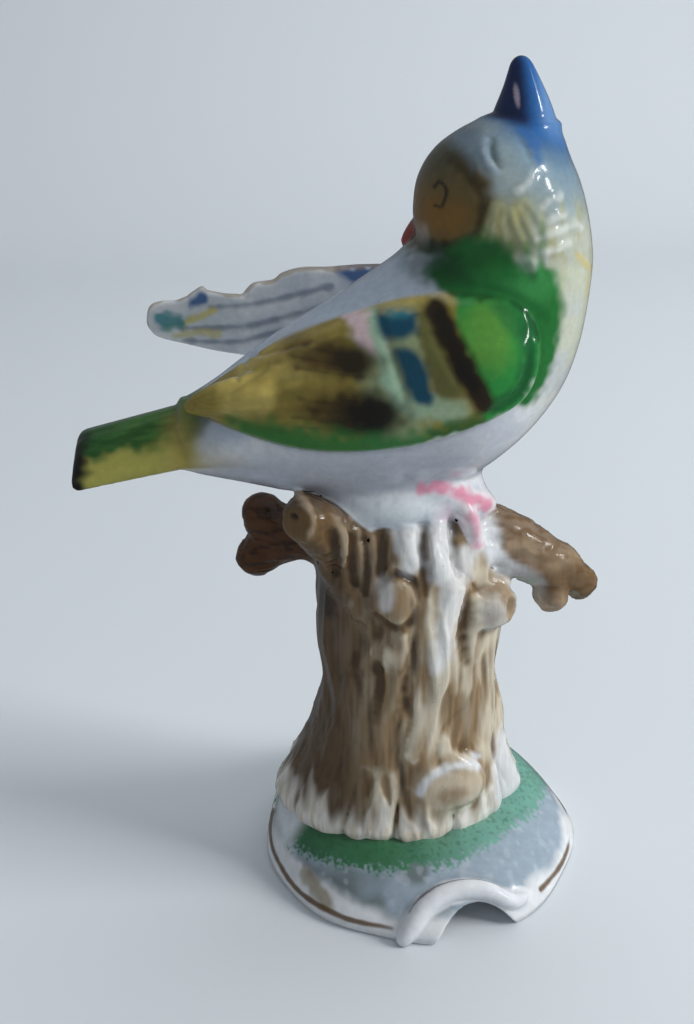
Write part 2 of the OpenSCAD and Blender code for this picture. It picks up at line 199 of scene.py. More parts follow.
class Block:
    """A box of space sampled on a grid: one field for each form, and all of them melted."""

    def __init__(self, low, high, cell):
        self.low = np.array(low, float)
        self.cell = cell
        self.n = np.ceil((np.array(high) - self.low) / cell).astype(int) + 1
        self.total = np.full(self.n, FAR, np.float32)
        self.forms = {}

    def window(self, low, high):
        i0 = np.clip(np.floor((np.array(low) - self.low) / self.cell).astype(int), 0, self.n - 2)
        i1 = np.clip(np.ceil((np.array(high) - self.low) / self.cell).astype(int) + 1, i0 + 2, self.n)
        x, y, z = (self.low[k] + self.cell * np.arange(i0[k], i1[k]) for k in range(3))
        where = tuple(slice(a, b) for a, b in zip(i0, i1))
        return where, x[:, None, None], y[None, :, None], z[None, None, :]

    def empty(self):
        return np.full(self.n, FAR, np.float32)

    def blend(self, field, shapes, k, margin):
        """Melts shapes into a field by k, within a margin of each."""
        for low, high, form in shapes:
            where, x, y, z = self.window(low - margin, high + margin)
            field[where] = melt(field[where], form(x, y, z), k)

    def keep(self, name, field, outer):
        """Keeps a form's own field and melts it onto what is there by outer."""
        self.forms[name] = field
        self.total = melt(self.total, field, outer).astype(np.float32)

    def add(self, name, shapes, inner=1.0, outer=1.0):
        """Melts the shapes together by inner, then onto what is there by outer."""
        field = self.empty()
        self.blend(field, shapes, inner, max(inner, outer) + 3 * self.cell + 1)
        self.keep(name, field, outer)

    def cut(self, shape, k=0.4):
        low, high, form = shape
        where, x, y, z = self.window(low - 2, high + 2)
        self.total[where] = both(self.total[where], -form(x, y, z), k)

    def ridge(self, path, height, width):
        """Raises, or with a negative height sinks, the surface along a line of points."""
        path = np.array(path, float)
        reach = 2.2 * width
        for i in range(len(path) - 1):
            a, b = path[i], path[i + 1]
            where, x, y, z = self.window(np.minimum(a, b) - reach, np.maximum(a, b) + reach)
            gap = cone([*a, 0], [*b, 0])[2](x, y, z)
            ends = min(1.0, (i + 0.5) * 3 / len(path), (len(path) - i - 0.5) * 3 / len(path))
            step = height * ends * np.exp(-((gap / width) ** 2))
            held = self.raised[where]
            self.raised[where] = np.where(abs(step) > abs(held), step, held)

    def begin_relief(self):
        self.raised = np.zeros(self.n, np.float32)

    def end_relief(self):
        self.total -= self.raised
        del self.raised

    def at(self, field, p):
        """The field's values at points."""
        q = (p - self.low) / self.cell
        i = np.clip(np.floor(q).astype(int), 0, self.n - 2)
        f = np.clip(q - i, 0, 1)
        out = 0
        for dx in (0, 1):
            for dy in (0, 1):
                for dz in (0, 1):
                    w = (
                        np.where(dx, f[:, 0], 1 - f[:, 0])
                        * np.where(dy, f[:, 1], 1 - f[:, 1])
                        * np.where(dz, f[:, 2], 1 - f[:, 2])
                    )
                    out = out + w * field[i[:, 0] + dx, i[:, 1] + dy, i[:, 2] + dz]
        return out

    def slope(self, p):
        """Outward unit normals at points."""
        g = np.empty_like(p)
        for k in range(3):
            e = np.zeros(3)
            e[k] = self.cell
            g[:, k] = self.at(self.total, p + e) - self.at(self.total, p - e)
        return g / (np.linalg.norm(g, axis=1, keepdims=True) + 1e-9)

    def nearest(self, place, axes):
        """The grid numbers nearest to a place, along two axes."""
        i = np.round((np.array(place) - self.low[axes]) / self.cell).astype(int)
        return np.clip(i, 0, self.n[axes] - 1)

    def front(self, x, z, side=-1):
        """The y of the surface at (x, z), as met from that side."""
        i, k = self.nearest((x, z), [0, 2])
        inside = np.nonzero(self.total[i, :, k] < 0)[0]
        if not len(inside):
            return 0.0
        return self.low[1] + self.cell * (inside[0] if side < 0 else inside[-1])

    def top(self, x, y):
        """The height of the surface at (x, y)."""
        i, j = self.nearest((x, y), [0, 1])
        inside = np.nonzero(self.total[i, j] < 0)[0]
        return self.low[2] + self.cell * inside[-1] if len(inside) else 0.0

    def on_front(self, points, side=-1):
        """Points (x, z) laid on the surface, as a smooth line."""
        return np.array([[x, self.front(x, z, side), z] for x, z in curve(points, 5)])

    def hollows(self, radius):
        """How far each place lies in a groove: the melted field, blurred."""
        blurred = self.total.astype(np.float32)
        r = max(1, int(round(radius / self.cell)))
        for axis in range(3):
            s = np.cumsum(blurred, axis=axis)
            pad = [(0, 0)] * 3
            pad[axis] = (r + 1, r)
            s = np.pad(s, pad, mode="edge")
            n = blurred.shape[axis]
            high = np.take(s, np.arange(2 * r + 1, 2 * r + 1 + n), axis=axis)
            low = np.take(s, np.arange(0, n), axis=axis)
            blurred = (high - low) / (2 * r + 1)
        return blurred

    def skin(self):
        """The surface as points in mm and four-sided faces."""
        grid = openvdb.FloatGrid(FAR)
        grid.copyFromArray(np.clip(self.total, -FAR, FAR))
        points, quads = grid.convertToQuads(0.0)
        return self.low + np.array(points, float) * self.cell, np.array(quads, int)


# ---- the bird's forms ---------------------------------------------------------

# sections of the body and head, from rump to crown: [low x, low z, high x, high z, half width]
BODY = [
    [-35.2, 71.4, -35.3, 73.0, 1.2],
    [-34.6, 69.4, -34.8, 75.2, 4.0],
    [-33.0, 67.6, -33.4, 77.2, 6.2],
    [-27.2, 66.0, -28.4, 81.2, 8.2],
    [-18.2, 64.0, -21.4, 86.2, 10.9],
    [-8.0, 63.2, -14.4, 90.4, 12.4],
    [3.2, 64.6, -8.8, 94.0, 13.0],
    [11.2, 69.6, -5.8, 96.0, 12.8],
    [17.0, 76.6, -4.4, 97.2, 12.2],
    [19.8, 84.0, -3.5, 98.0, 11.2],
    [20.8, 93.5, -2.9, 98.8, 10.3],
    [20.3, 98.6, -3.3, 102.0, 10.3],
    [18.7, 104.2, -2.8, 106.0, 10.1],
    [16.5, 108.6, -0.8, 109.4, 8.7],
    [13.6, 111.4, 2.6, 111.9, 6.2],
    [11.6, 112.9, 5.6, 113.1, 3.4],
    [9.6, 113.5, 7.4, 113.6, 1.0],
]
NECK = 10  # the section where the head is joined to the body


class Body:
    """A solid swept through sections that fan round the nape."""

    def __init__(self, sections, steps=10):
        self.rows = curve(sections, steps)
        self.steps = steps

    def plan(self, x, z):
        """For places (x, z): the height across the section from -1 to 1, its half width, its number."""
        shape = np.broadcast(x, z).shape
        px, pz = (np.broadcast_to(v, shape).ravel() for v in (x, z))
        best = np.full(px.shape, 1e9)
        q = np.full(px.shape, 1e9)
        wide = np.ones(px.shape)
        number = np.zeros(px.shape)
        before = None
        for i, (lx, lz, hx, hz, w) in enumerate(self.rows):
            mx, mz = (lx + hx) / 2, (lz + hz) / 2
            half = math.hypot(hx - lx, hz - lz) / 2
            ux, uz = (hx - lx) / 2 / half, (hz - lz) / 2 / half
            t = (px - mx) * uz - (pz - mz) * ux
            s = ((px - mx) * ux + (pz - mz) * uz) / half
            if before is not None:
                t0, s0, w0 = before
                share = t0 / (t0 - t + 1e-12)
                crossed = (t0 * t <= 0) & (share >= 0) & (share <= 1)
                s_here = s0 + share * (s - s0)
                better = crossed & (abs(s_here) < best)
                best = np.where(better, abs(s_here), best)
                q = np.where(better, s_here, q)
                wide = np.where(better, w0 + share * (w - w0), wide)
                number = np.where(better, (i - 1 + share) / self.steps, number)
            before = t, s, w
        return (v.reshape(shape) for v in (q, wide, number))

    def shape(self, low, high):
        def field(x, y, z):
            q, w, _ = self.plan(x[:, :, 0], z[:, 0, :].reshape(1, -1))
            q = np.clip(q, -9, 9)
            gx, gz = np.gradient(q, CELL)
            steep = np.clip(np.hypot(gx, gz), 0.02, 1.0)[:, None, :]
            q, w = q[:, None, :], w[:, None, :]
            g = np.sqrt(q * q + (y / w) ** 2) + 1e-6
            fall = np.sqrt((q * steep) ** 2 + (y / (w * w)) ** 2) / g
            return np.clip((g - 1) / np.maximum(fall, 0.03), -12, FAR)

        return np.array(low, float), np.array(high, float), field


NEAR_WING = outline([
    (-33.6, 78.8), (-32.0, 79.9), (-26.1, 83.4), (-18.9, 87.3), (-11.7, 90.4), (-6.3, 92.4), (-0.9, 93.9),
    (3.3, 94.0), (7.2, 93.1), (9.6, 91.2), (11.2, 87.3), (11.0, 82.8), (9.2, 79.6), (5.0, 77.4),
    (0.7, 76.0), (-4.9, 74.6), (-12.2, 73.9), (-19.5, 74.2), (-26.7, 75.8), (-31.6, 77.4), (-33.4, 78.2),
])
FAR_WING = outline([
    (-39.4, 84.0), (-38.8, 86.2), (-37.2, 87.0), (-34.7, 87.2), (-32.7, 88.3), (-31.0, 89.3), (-29.9, 88.6),
    (-25.8, 88.2), (-23.7, 89.8), (-20.9, 90.3), (-19.6, 91.3), (-16.8, 92.1), (-13.0, 92.2), (-8.0, 92.6),
    (-3.0, 92.4), (1.0, 90.0), (2.0, 85.0), (-2.0, 80.0), (-10.0, 78.0), (-18.0, 77.6), (-25.4, 78.9),
    (-29.5, 79.5), (-33.6, 80.4), (-37.6, 81.4), (-39.0, 82.6),
])


def wing_shape(block):
    """The near wing: a plate that follows the body, fuller at the shoulder."""
    low, high = np.array([-35.5, -17.6, 72.0]), np.array([13.0, -2.0, 96.5])
    where = block.window(low, high)[0]

    def field(x, y, z):
        body = block.total[where]
        plan = patch(x[:, :, 0], z[:, 0, :].reshape(1, -1), NEAR_WING)[:, None, :]
        full = np.exp(-(((x - 5) / 6.5) ** 2 + ((z - 85) / 6) ** 2))
        thin = smooth(-12, 0, x) * smooth(87, 93, z)
        thick = (1.0 + 0.7 * full + 0.3 * smooth(-20, -5, x)) * (1 - 0.9 * thin)
        plate = both(plan + 0 * y, body - thick, 1.3)
        return np.where(y < -1.5, plate, FAR)

    return low, high, field


def far_wing_shape():
    """A flat plate that leans out from the back, thicker at its root."""
    low, high = np.array([-40.5, 8.0, 76.5]), np.array([3.0, 19.5, 94.0])

    def field(x, y, z):
        plan = patch(x[:, :, 0], z[:, 0, :].reshape(1, -1), FAR_WING)[:, None, :]
        middle = 17.6 - 0.175 * (x + 39) - 0.1 * (z - 84)
        thick = 0.8 + 0.9 * smooth(-38, -8, x)
        return both(plan + 0 * y, abs(y - middle) - thick, 1.0)

    return low, high, field


def tail_shape():
    """An arched plate with a blunt end, thinner and wider there."""
    low, high = np.array([-50.8, -8.6, 65.0]), np.array([-29.0, 8.6, 79.8])

    def field(x, y, z):
        t = np.clip((x + 49.3) / 19, 0, 1)
        thick = 2.0 + 1.6 * t
        wide = 7.4 - 0.7 * t
        over = z - 71.3 - 3.0 * t + 0.055 * y * y
        g = np.sqrt((y / wide) ** 2 + (over / thick) ** 2) + 1e-6
        fall = np.sqrt((y / wide**2 + 0.11 * y * over / thick**2) ** 2 + (over / thick**2) ** 2) / g
        return both((g - 1) / np.maximum(fall, 0.08), -(x + 49.0) - 0.012 * y * y, 1.6)

    return low, high, field


CREST = [(10.5, 0, 110.4, 4.5), (10.4, 0, 113.2, 3.5), (10.2, 0, 116.0, 2.35), (9.85, 0, 118.4, 1.4),
         (9.65, 0, 119.4, 0.8)]
BEAK = [(0.8, 3.6, 100.0, 2.6), (-1.2, 4.4, 98.8, 1.8), (-2.5, 5.0, 97.7, 1.1), (-3.2, 5.4, 97.0, 0.6)]
NEAR_FOOT = [
    [(-2.4, -6.6, 66.0, 0.9), (0.8, -6.8, 65.2, 1.0), (4.6, -5.6, 63.4, 0.9), (8.2, -3.8, 61.6, 0.6)],
    [(3.0, -6.6, 63.6, 0.9), (4.5, -7.8, 60.8, 0.9), (5.3, -7.9, 57.6, 0.7)],
]
FAR_FOOT = [
    [(-0.5, 6.2, 64.4, 1.2), (2.4, 6.2, 61.9, 1.0), (4.6, 5.0, 60.8, 0.8), (6.0, 4.2, 60.2, 0.5)],
    [(0.6, 6.4, 63.0, 1.0), (1.8, 7.2, 60.8, 0.8), (2.4, 7.8, 60.1, 0.5)],
]

# what the bird sits on: the round foot of the breast, a bar and a cushion
SKIRT = [
    ball((5.6, -2.6, 61.6), (2.6, 2.6, 2.6)),
    cone((-11.0, -0.5, 60.6, 4.6), (0.4, -0.5, 60.8, 4.6)),
    ball((-5.4, -0.4, 63.0), (11.0, 9.2, 4.2)),
]
WING_TIP = [(-33.4, -6.2, 78.8, 0.7), (-29.0, -6.8, 80.0, 1.6), (-24.0, -7.4, 80.8, 2.2)]

# ---- the stump's forms ----------------------------------------------------------

# levels of the stump: [z, half width, half depth, centre x, centre y]
STUMP = curve([
    [6.0, 20.2, 16.2, -3.4, 2.8],
    [9.5, 20.2, 16.0, -3.3, 2.8],
    [13.0, 18.9, 15.2, -3.0, 2.4],
    [17.1, 17.1, 14.2, -2.7, 1.6],
    [22.1, 15.1, 13.0, -2.3, 1.0],
    [27.7, 14.0, 12.4, -2.0, 0.6],
    [33.7, 13.8, 12.1, -2.2, 0.3],
    [39.8, 13.7, 12.0, -2.4, 0.1],
    [45.9, 13.6, 11.9, -2.8, 0],
    [51.4, 13.4, 11.8, -3.4, 0],
    [56.0, 12.9, 11.3, -4.0, 0],
    [59.0, 12.0, 10.4, -4.4, 0],
    [61.0, 10.6, 9.2, -4.5, 0],
], 6)
HOLLOW_TOP = 30.0  # the inside of the trunk that shows from below ends here


def column(x, y, z, grow=0.0):
    """Distance from the plain stump, and the bearing round it."""
    rx, ry, cx, cy = (np.interp(z, STUMP[:, 0], STUMP[:, k]) for k in (1, 2, 3, 4))
    u, v = x - cx, y - cy
    g = np.sqrt((u / (rx + grow)) ** 2 + (v / (ry + grow)) ** 2) + 1e-6
    fall = np.sqrt((u / (rx + grow) ** 2) ** 2 + (v / (ry + grow) ** 2) ** 2) / g
    return (g - 1) / np.maximum(fall, 0.02), np.arctan2(v, u)


def strand(turns, spread, t):
    """A rounded ridge for each turn: 1 on its crest and 0 in the groove beside it."""
    f = turns * t / (2 * math.pi) + spread
    f = f - np.floor(f)
    return np.sqrt(np.sin(math.pi * f))


def veins(x, y, z, size, shift=0.0):
    """Irregular ridges drawn out along z: 1 on a crest and 0 in the groove beside it."""
    return 1 - abs(2 * noise(x, y, z, size, shift) - 1) ** 0.7


def bark(x, y, z, t):
    """Height of the bark: a few rounded strands under irregular veins, all climbing the trunk."""
    drift = 0.30 * np.sin(z * 0.13 + t) + 0.10 * np.sin(z * 0.37 + 2 * t + 1) + 0.35 * np.sin(3 * t)
    swell = 0.75 + 0.35 * np.sin(z * 0.33 + 4 * t)
    lean = 0.9 * np.sin(z * 0.21 + 2 * t)
    coarse = veins(x + lean, y, z, (3.4, 3.4, 15.0), 3.0)
    fine = veins(x + lean, y, z, (1.5, 1.5, 9.0), 6.0)
    fade = smooth(6.5, 11, z) * (1 - 0.4 * smooth(55, 61, z))
    return fade * (0.6 * swell * strand(12, drift, t) + 0.85 * coarse + 0.35 * fine)


def stump_shape():
    """The trunk, lobed at its foot, with its bark."""
    low, high = np.array([-24.0, -16.0, 8.6]), np.array([19.0, 20.5, 62.0])

    def field(x, y, z):
        d, t = column(x, y, z)
        lobes = (1 - smooth(12, 26, z)) * (np.sqrt(abs(np.sin(5.5 * t + 0.4 * np.sin(3 * t)))) - 0.7)
        lump = 1.1 * (noise(x, y, z, (5, 5, 11)) - 0.5)
        d = d + 1.0 - bark(x, y, z, t) - lobes - lump
        return np.maximum(d, z - 60.8)

    return low, high, field


LIMBS = ("left_knot", "left_branch", "right_boss", "right_branch")
WOODY = ("stump",) + LIMBS
RIGHT_BRANCH = [(1, -2, 55.6, 5.0), (8.2, -2, 55.4, 4.8), (13, -2.5, 53.6, 4.0), (17, -2.9, 51.2, 3.5),
                (20.0, -2.8, 49.8, 2.9), (22.2, -2.6, 48.0, 2.2), (22.9, -2.6, 47.2, 2.4)]
RIGHT_KNOB = [(18.0, -3.6, 50.0, 2.5), (18.0, -4.6, 47.8, 1.9), (17.9, -5.0, 46.0, 2.2)]
LEFT_BRANCH = [(-9, 5, 51.6, 3.4), (-14.5, 7, 52.4, 3.3), (-19, 8.4, 52.2, 3.1), (-22.4, 9, 50.4, 2.6),
               (-24.6, 9, 49.0, 2.2), (-25.2, 9, 48.5, 2.1)]
LEFT_KNOB = [(-19.4, 8.4, 52.8, 3.0), (-22.4, 9, 54.2, 2.5), (-23.7, 9, 55.8, 2.2), (-23.9, 9, 56.3, 2.1)]
LEFT_SWELLING = ball((-22.6, 9, 52.4), (3.1, 2.6, 3.4))
KNOT = [(-10, -4, 56.4, 4.2), (-14.0, -6.0, 58.6, 3.8), (-17.0, -8.0, 61.2, 3.2), (-19.2, -9.2, 63.8, 2.7)]
BOSS = [(3, -4, 47, 4.0), (7.2, -6.0, 47.0, 3.5), (8.8, -7.1, 46.9, 3.0)]

# relief on the stump: [(x, z), ...], height, width
STUMP_RELIEF = [
    ([(-22.3, 65.6), (-20.6, 66.8), (-18.8, 66.0), (-18.0, 63.8), (-18.8, 61.6), (-20.8, 60.8)], 0.45, 0.6),
    ([(-16.2, 63.4), (-15.4, 60.6), (-14.8, 57.0), (-14.6, 52.0)], -0.8, 0.8),
    ([(-13.0, 61.6), (-12.6, 59.4), (-12.6, 56.0), (-12.0, 52.0)], -0.8, 0.8),
    ([(-14.4, 62.6), (-13.8, 60.0), (-13.6, 56.0)], 0.5, 0.8),
    ([(-10.8, 60.8), (-10.6, 58.4), (-10.4, 55.0), (-10.8, 51.0)], -0.7, 0.7),
    ([(-19.6, 57.5), (-17.0, 54.5), (-15.0, 52.4), (-12.4, 50.0), (-10.8, 47.6)], 1.3, 1.5),
    ([(-5.2, 60.5), (-5.2, 58.0), (-4.6, 55.5)], 1.2, 1.3),
    ([(-0.4, 60.6), (-0.6, 57.5), (-0.2, 54.5)], 1.2, 1.3),
    ([(-8.3, 61.0), (-8.4, 57.5), (-8.6, 54.0)], -1.0, 0.8),
    ([(-2.7, 61.5), (-2.8, 58.5), (-2.4, 55.0), (-2.6, 52.0)], -1.1, 0.8),
    ([(1.8, 61.0), (1.7, 58.0), (2.2, 54.0)], -1.0, 0.8),
    ([(-9.6, 51.0), (-8.8, 53.6), (-6.4, 54.9), (-4.2, 53.6), (-3.6, 51.0)], -0.9, 0.6),
    ([(-4.0, 50.5), (-4.6, 47.6), (-6.8, 46.6), (-9.2, 48.4)], -0.9, 0.6),
    ([(1.6, 54.5), (1.0, 50.0), (0.6, 45.5), (-0.6, 41.0)], 0.9, 1.6),
    ([(4.6, 52.0), (3.8, 48.0), (3.4, 44.0), (4.2, 39.0)], -1.1, 0.9),
    ([(-11.6, 47.0), (-11.0, 43.0), (-12.0, 38.0), (-11.0, 33.0)], -1.0, 0.9),
    ([(-8.8, 45.5), (-9.2, 40.5), (-8.4, 36.0), (-9.0, 30.0)], -0.9, 0.8),
    ([(-4.5, 45.5), (-4.2, 41.0), (-5.0, 36.0), (-4.2, 31.0), (-5.0, 26.0)], -0.8, 0.8),
]
BURLS = [
    ball((-6.4, -9.9, 51.0), (3.2, 2.6, 4.2)),
    ball((-7.6, -9.8, 42.0), (2.3, 2.0, 2.6)),
    ball((2.2, -11.2, 18.4), (5.8, 2.4, 5.0)),
]


# ---- feathers: relief laid on the bird -------------------------------------------

# (x, z) lines on the head and neck: the eye, the tufts combed down and the loose locks
EYE = [(-1.7, 105.6), (-1.1, 106.3), (-0.5, 105.6), (-0.6, 104.5), (-1.0, 103.4), (-1.6, 103.5)]
COMBED = [
    [(4.6, 104.3), (4.1, 102.4), (3.8, 100.7)],
    [(5.3, 104.3), (4.8, 101.9), (4.7, 100.0)],
    [(6.0, 104.1), (5.8, 101.7), (6.7, 99.1)],
    [(6.7, 103.8), (7.5, 101.5), (8.9, 99.0)],
    [(7.7, 103.8), (9.1, 101.4), (10.4, 99.0)],
    [(8.4, 104.7), (10.0, 103.0), (10.6, 101.4)],
]
LOCKS = [
    [(9.5, 108.0), (8.7, 106.7), (7.4, 105.9)],
    [(10.8, 103.9), (11.8, 104.6), (13.2, 104.8)],
    [(11.7, 102.1), (12.8, 102.5), (14.0, 102.5)],
    [(10.4, 100.0), (11.8, 100.6), (13.8, 100.9)],
    [(10.5, 98.3), (12.4, 98.4), (14.8, 99.2)],
    [(9.3, 97.6), (10.1, 96.6), (10.6, 95.3)],
    [(14.6, 101.0), (16.0, 101.2), (17.0, 100.6)],
]
# the same, with the height and width of their relief
TUFTS = (
    [(points, 0.28, 0.42) for points in COMBED]
    + [(points, 0.5, 0.6) for points in LOCKS]
    + [
        ([(4.4, 111.4), (3.8, 110.1), (4.2, 108.7), (5.1, 107.9)], 0.3, 0.45),
        ([(5.2, 111.2), (4.7, 109.8), (5.3, 108.5)], -0.35, 0.4),
        ([(8.2, 111.6), (8.8, 110.4), (9.1, 109.1)], -0.3, 0.45),
        ([(16.6, 97.3), (17.8, 96.3), (19.1, 95.1)], 0.3, 0.6),
        ([(-0.8, 109.0), (2.0, 107.0), (3.4, 104.0), (3.0, 101.0), (1.0, 99.2), (-1.8, 98.9)], -0.35, 0.5),
        (EYE, -0.25, 0.3),
    ]
)


def wing_feathers():
    """Grooves on the near wing that run together at its tip."""
    tip = (-33.0, 79.2)
    ends = [(-14.0, 88.5), (-16.5, 86.4), (-17.0, 83.6), (-17.5, 81.0), (-18.0, 78.6), (-19.0, 76.4)]
    for i, (x, z) in enumerate(ends):
        sag = 0.8 - 0.3 * i
        middle = ((tip[0] + x) / 2, (tip[1] + z) / 2 + sag)
        yield [tip, middle, (x, z)], -0.3, 0.5
    yield [(10.2, 90.6), (9.4, 86.0), (8.2, 81.6), (5.0, 79.2), (1.0, 78.2)], -0.35, 0.6
    yield [(-3.4, 92.0), (-1.8, 87.6), (0.6, 83.4), (3.6, 80.2)], -0.3, 0.6
    yield [(-9.4, 91.0), (-8.0, 86.6), (-6.6, 82.2), (-6.0, 78.6)], -0.25, 0.6


FAR_GROOVES = [
    [(-30.0, 86.4), (-24.3, 86.9), (-18.6, 88.2), (-12.9, 89.8)],
    [(-35.0, 83.2), (-29.5, 83.2), (-24.4, 83.7), (-18.6, 85.3), (-12.0, 87.4)],
    [(-34.0, 81.2), (-28.1, 81.0), (-24.5, 81.5), (-20.1, 83.0)],
    [(-33.4, 88.0), (-32.0, 86.6), (-28.0, 86.6)],
    [(-25.8, 88.4), (-24.2, 87.9), (-21.0, 88.2)],
]
TAIL_GROOVES = [-3.6, -1.2, 1.2, 3.6]


def roughen(block):
    """Shallow dents and veins on the limbs, as on the trunk."""
    nearest = np.minimum.reduce([block.forms[n] for n in LIMBS])
    where = tuple(slice(int(v.min()), int(v.max()) + 1) for v in np.nonzero(abs(nearest) < 1.6))
    steps = [block.low[n] + block.cell * np.arange(w.start, w.stop) for n, w in enumerate(where)]
    x, y, z = np.meshgrid(*steps, indexing="ij", sparse=True)
    close = smooth(1.2, 0.2, nearest[where])
    bird = np.minimum(block.forms["bird_torso"][where], block.forms["near_foot"][where])
    clear = smooth(0.2, 1.4, bird)
    dents = 0.7 * (noise(x, y, z, (4.0, 2.2, 2.2), 5.0) - 0.5)
    dents = dents + 0.4 * (veins(x, y, z, (4.0, 1.1, 1.1), 8.0) - 0.5)
    block.total[where] -= (close * clear * dents).astype(np.float32)


def add_torso(block):
    """The body and the skirt that it sits on. Gives back the body, for its sections."""
    body = Body(BODY)
    low, high, form = body.shape((-36, -17.9, 60), (23, 17.9, 115))
    where, x, y, z = block.window(low, high)
    field = block.empty()
    field[where] = form(x, y, z)
    block.blend(field, SKIRT, 4.0, 5)
    block.keep("bird_torso", field, 1.4)
    return body


def add_near_wing(block):
    """The wing's plate, and the rounded spine of its tip."""
    low, high, form = wing_shape(block)
    where, x, y, z = block.window(low, high)
    field = block.empty()
    field[where] = form(x, y, z)
    block.blend(field, limb(WING_TIP), 1.6, 4)
    block.keep("near_wing", field, 0.5)


def cut_hollows(block):
    """The hollow in the sawn knot, its pith hole, the dents in the limbs, and the inside of the trunk."""
    block.cut(ball((-22.0, -12.4, 64.0), (2.6, 2.1, 3.0)), 0.7)
    block.cut(ball((-20.4, -11.0, 64.2), (0.5, 0.8, 0.5)), 0.2)
    block.cut(ball((11.3, -9.5, 47.2), (1.6, 1.4, 2.0)), 0.5)
    block.cut(ball((-19.6, 2.0, 48.2), (3.4, 3.0, 3.0)), 0.8)
    block.cut((np.array([-22.0, -16.0, 5.0]), np.array([18.0, 20.0, HOLLOW_TOP + 2]), cavity), 0.6)


def make_bird_and_stump():
    """Everything but the base and the far wing, as one block. Each form melts onto those before it."""
    block = Block((-51.6, -18.0, 7.6), (29.5, 20.5, 121.2), CELL)
    block.add("stump", [stump_shape()], 1.0, 1.0)
    for burl in BURLS:
        for field in (block.forms["stump"], block.total):
            block.blend(field, [burl], 1.6, 4)
    block.add("left_knot", limb(KNOT), 1.2, 2.6)
    block.add("left_branch", limb(LEFT_BRANCH) + limb(LEFT_KNOB) + [LEFT_SWELLING], 1.6, 2.4)
    block.add("right_boss", limb(BOSS), 1.2, 1.6)
    block.add("right_branch", limb(RIGHT_BRANCH) + limb(RIGHT_KNOB), 0.9, 2.6)
    body = add_torso(block)
    block.add("tail", [tail_shape()], 0.5, 3.0)
    add_near_wing(block)
    block.add("crest", limb(CREST, 5), 0.6, 3.0)
    block.add("beak", limb(BEAK), 0.5, 0.8)
    block.add("near_foot", limb(NEAR_FOOT[0]) + limb(NEAR_FOOT[1]), 1.0, 1.8)
    block.add("far_foot", limb(FAR_FOOT[0]) + limb(FAR_FOOT[1]), 0.6, 0.9)
    roughen(block)
    block.begin_relief()
    for points, height, width in TUFTS + list(wing_feathers()) + STUMP_RELIEF:
        block.ridge(block.on_front(points), height, width)
    for points, height, width in TUFTS:
        block.ridge(block.on_front(points, 1), height, width)
    for y in TAIL_GROOVES:
        block.ridge([(x, y, block.top(x, y)) for x in (-34, -38, -42, -46, -48.4)], -0.12, 0.6)
    block.end_relief()
    cut_hollows(block)
    return block, body


def cavity(x, y, z):
    """The inside of the trunk."""
    d, _ = column(x, y, z, -4.2)
    return both(d, z - HOLLOW_TOP, 3.0)


# ---- meshes --------------------------------------------------------------------


def close_holes(points, faces, normals):
    """Caps each open edge loop of a piece with a fan that dips inside it."""
    a = faces.ravel()
    b = np.roll(faces, -1, axis=1).ravel()
    n = len(points)
    forward = a.astype(np.int64) * n + b
    backward = b.astype(np.int64) * n + a
    open_edge = ~np.isin(forward, backward)
    ea, eb = a[open_edge], b[open_edge]
    group = {}

    def root(v):
        while group.setdefault(v, v) != v:
            group[v] = group[group[v]]
            v = group[v]
        return v

    for u, v in zip(ea, eb):
        group[root(u)] = root(v)
    loops = {}
    for u, v in zip(ea, eb):
        loops.setdefault(root(u), []).append((u, v))
    new_points, new_normals, fans = [], [], []
    for edges in loops.values():
        ring = np.array(sorted({u for e in edges for u in e}))
        inward = -normals[ring].mean(0)
        spread = np.linalg.norm(points[ring] - points[ring].mean(0), axis=1).mean()
        new_points.append(points[ring].mean(0) + inward * min(1.5, 0.25 * spread))
        new_normals.append(-inward)
        centre = n + len(new_points) - 1
        fans += [(v, u, centre) for u, v in edges]
    if not fans:
        return points, [], normals
    return np.vstack([points, new_points]), fans, np.vstack([normals, new_normals])


def vote(label, quads, count, rounds=6):
    """Lets each face take the label most common round its corners, so that no piece keeps stray specks."""
    kinds, number = np.unique(label, return_inverse=True)
    for _ in range(rounds):
        slots = quads.ravel() * len(kinds) + np.repeat(number, 4)
        tally = np.bincount(slots, minlength=count * len(kinds)).reshape(count, len(kinds))
        number = tally[quads].sum(1).argmax(1)
    return kinds[number]


def settle(label, quads, count, least=400, rounds=25):
    """Gives each small island of faces to the piece that surrounds it."""
    kinds, number = np.unique(label, return_inverse=True)
    corner = quads * len(kinds) + number[:, None]
    island = np.arange(len(quads))
    for _ in range(rounds):
        lowest = np.full(count * len(kinds), len(quads))
        np.minimum.at(lowest, corner.ravel(), np.repeat(island, 4))
        island = lowest[corner].min(1)
        island = island[island]
    size = np.bincount(island, minlength=len(quads))[island]
    largest = np.zeros(len(kinds), int)
    np.maximum.at(largest, number, size)
    small = (size < least) & (size < largest[number])
    for _ in range(rounds):
        if not small.any():
            break
        kept = (quads * len(kinds) + number[:, None])[~small].ravel()
        tally = np.bincount(kept, minlength=count * len(kinds)).reshape(count, len(kinds))
        around = tally[quads[small]].sum(1)
        reached = around.sum(1) > 0
        which = np.flatnonzero(small)[reached]
        number[which] = around[reached].argmax(1)
        small[which] = False
    return kinds[number]


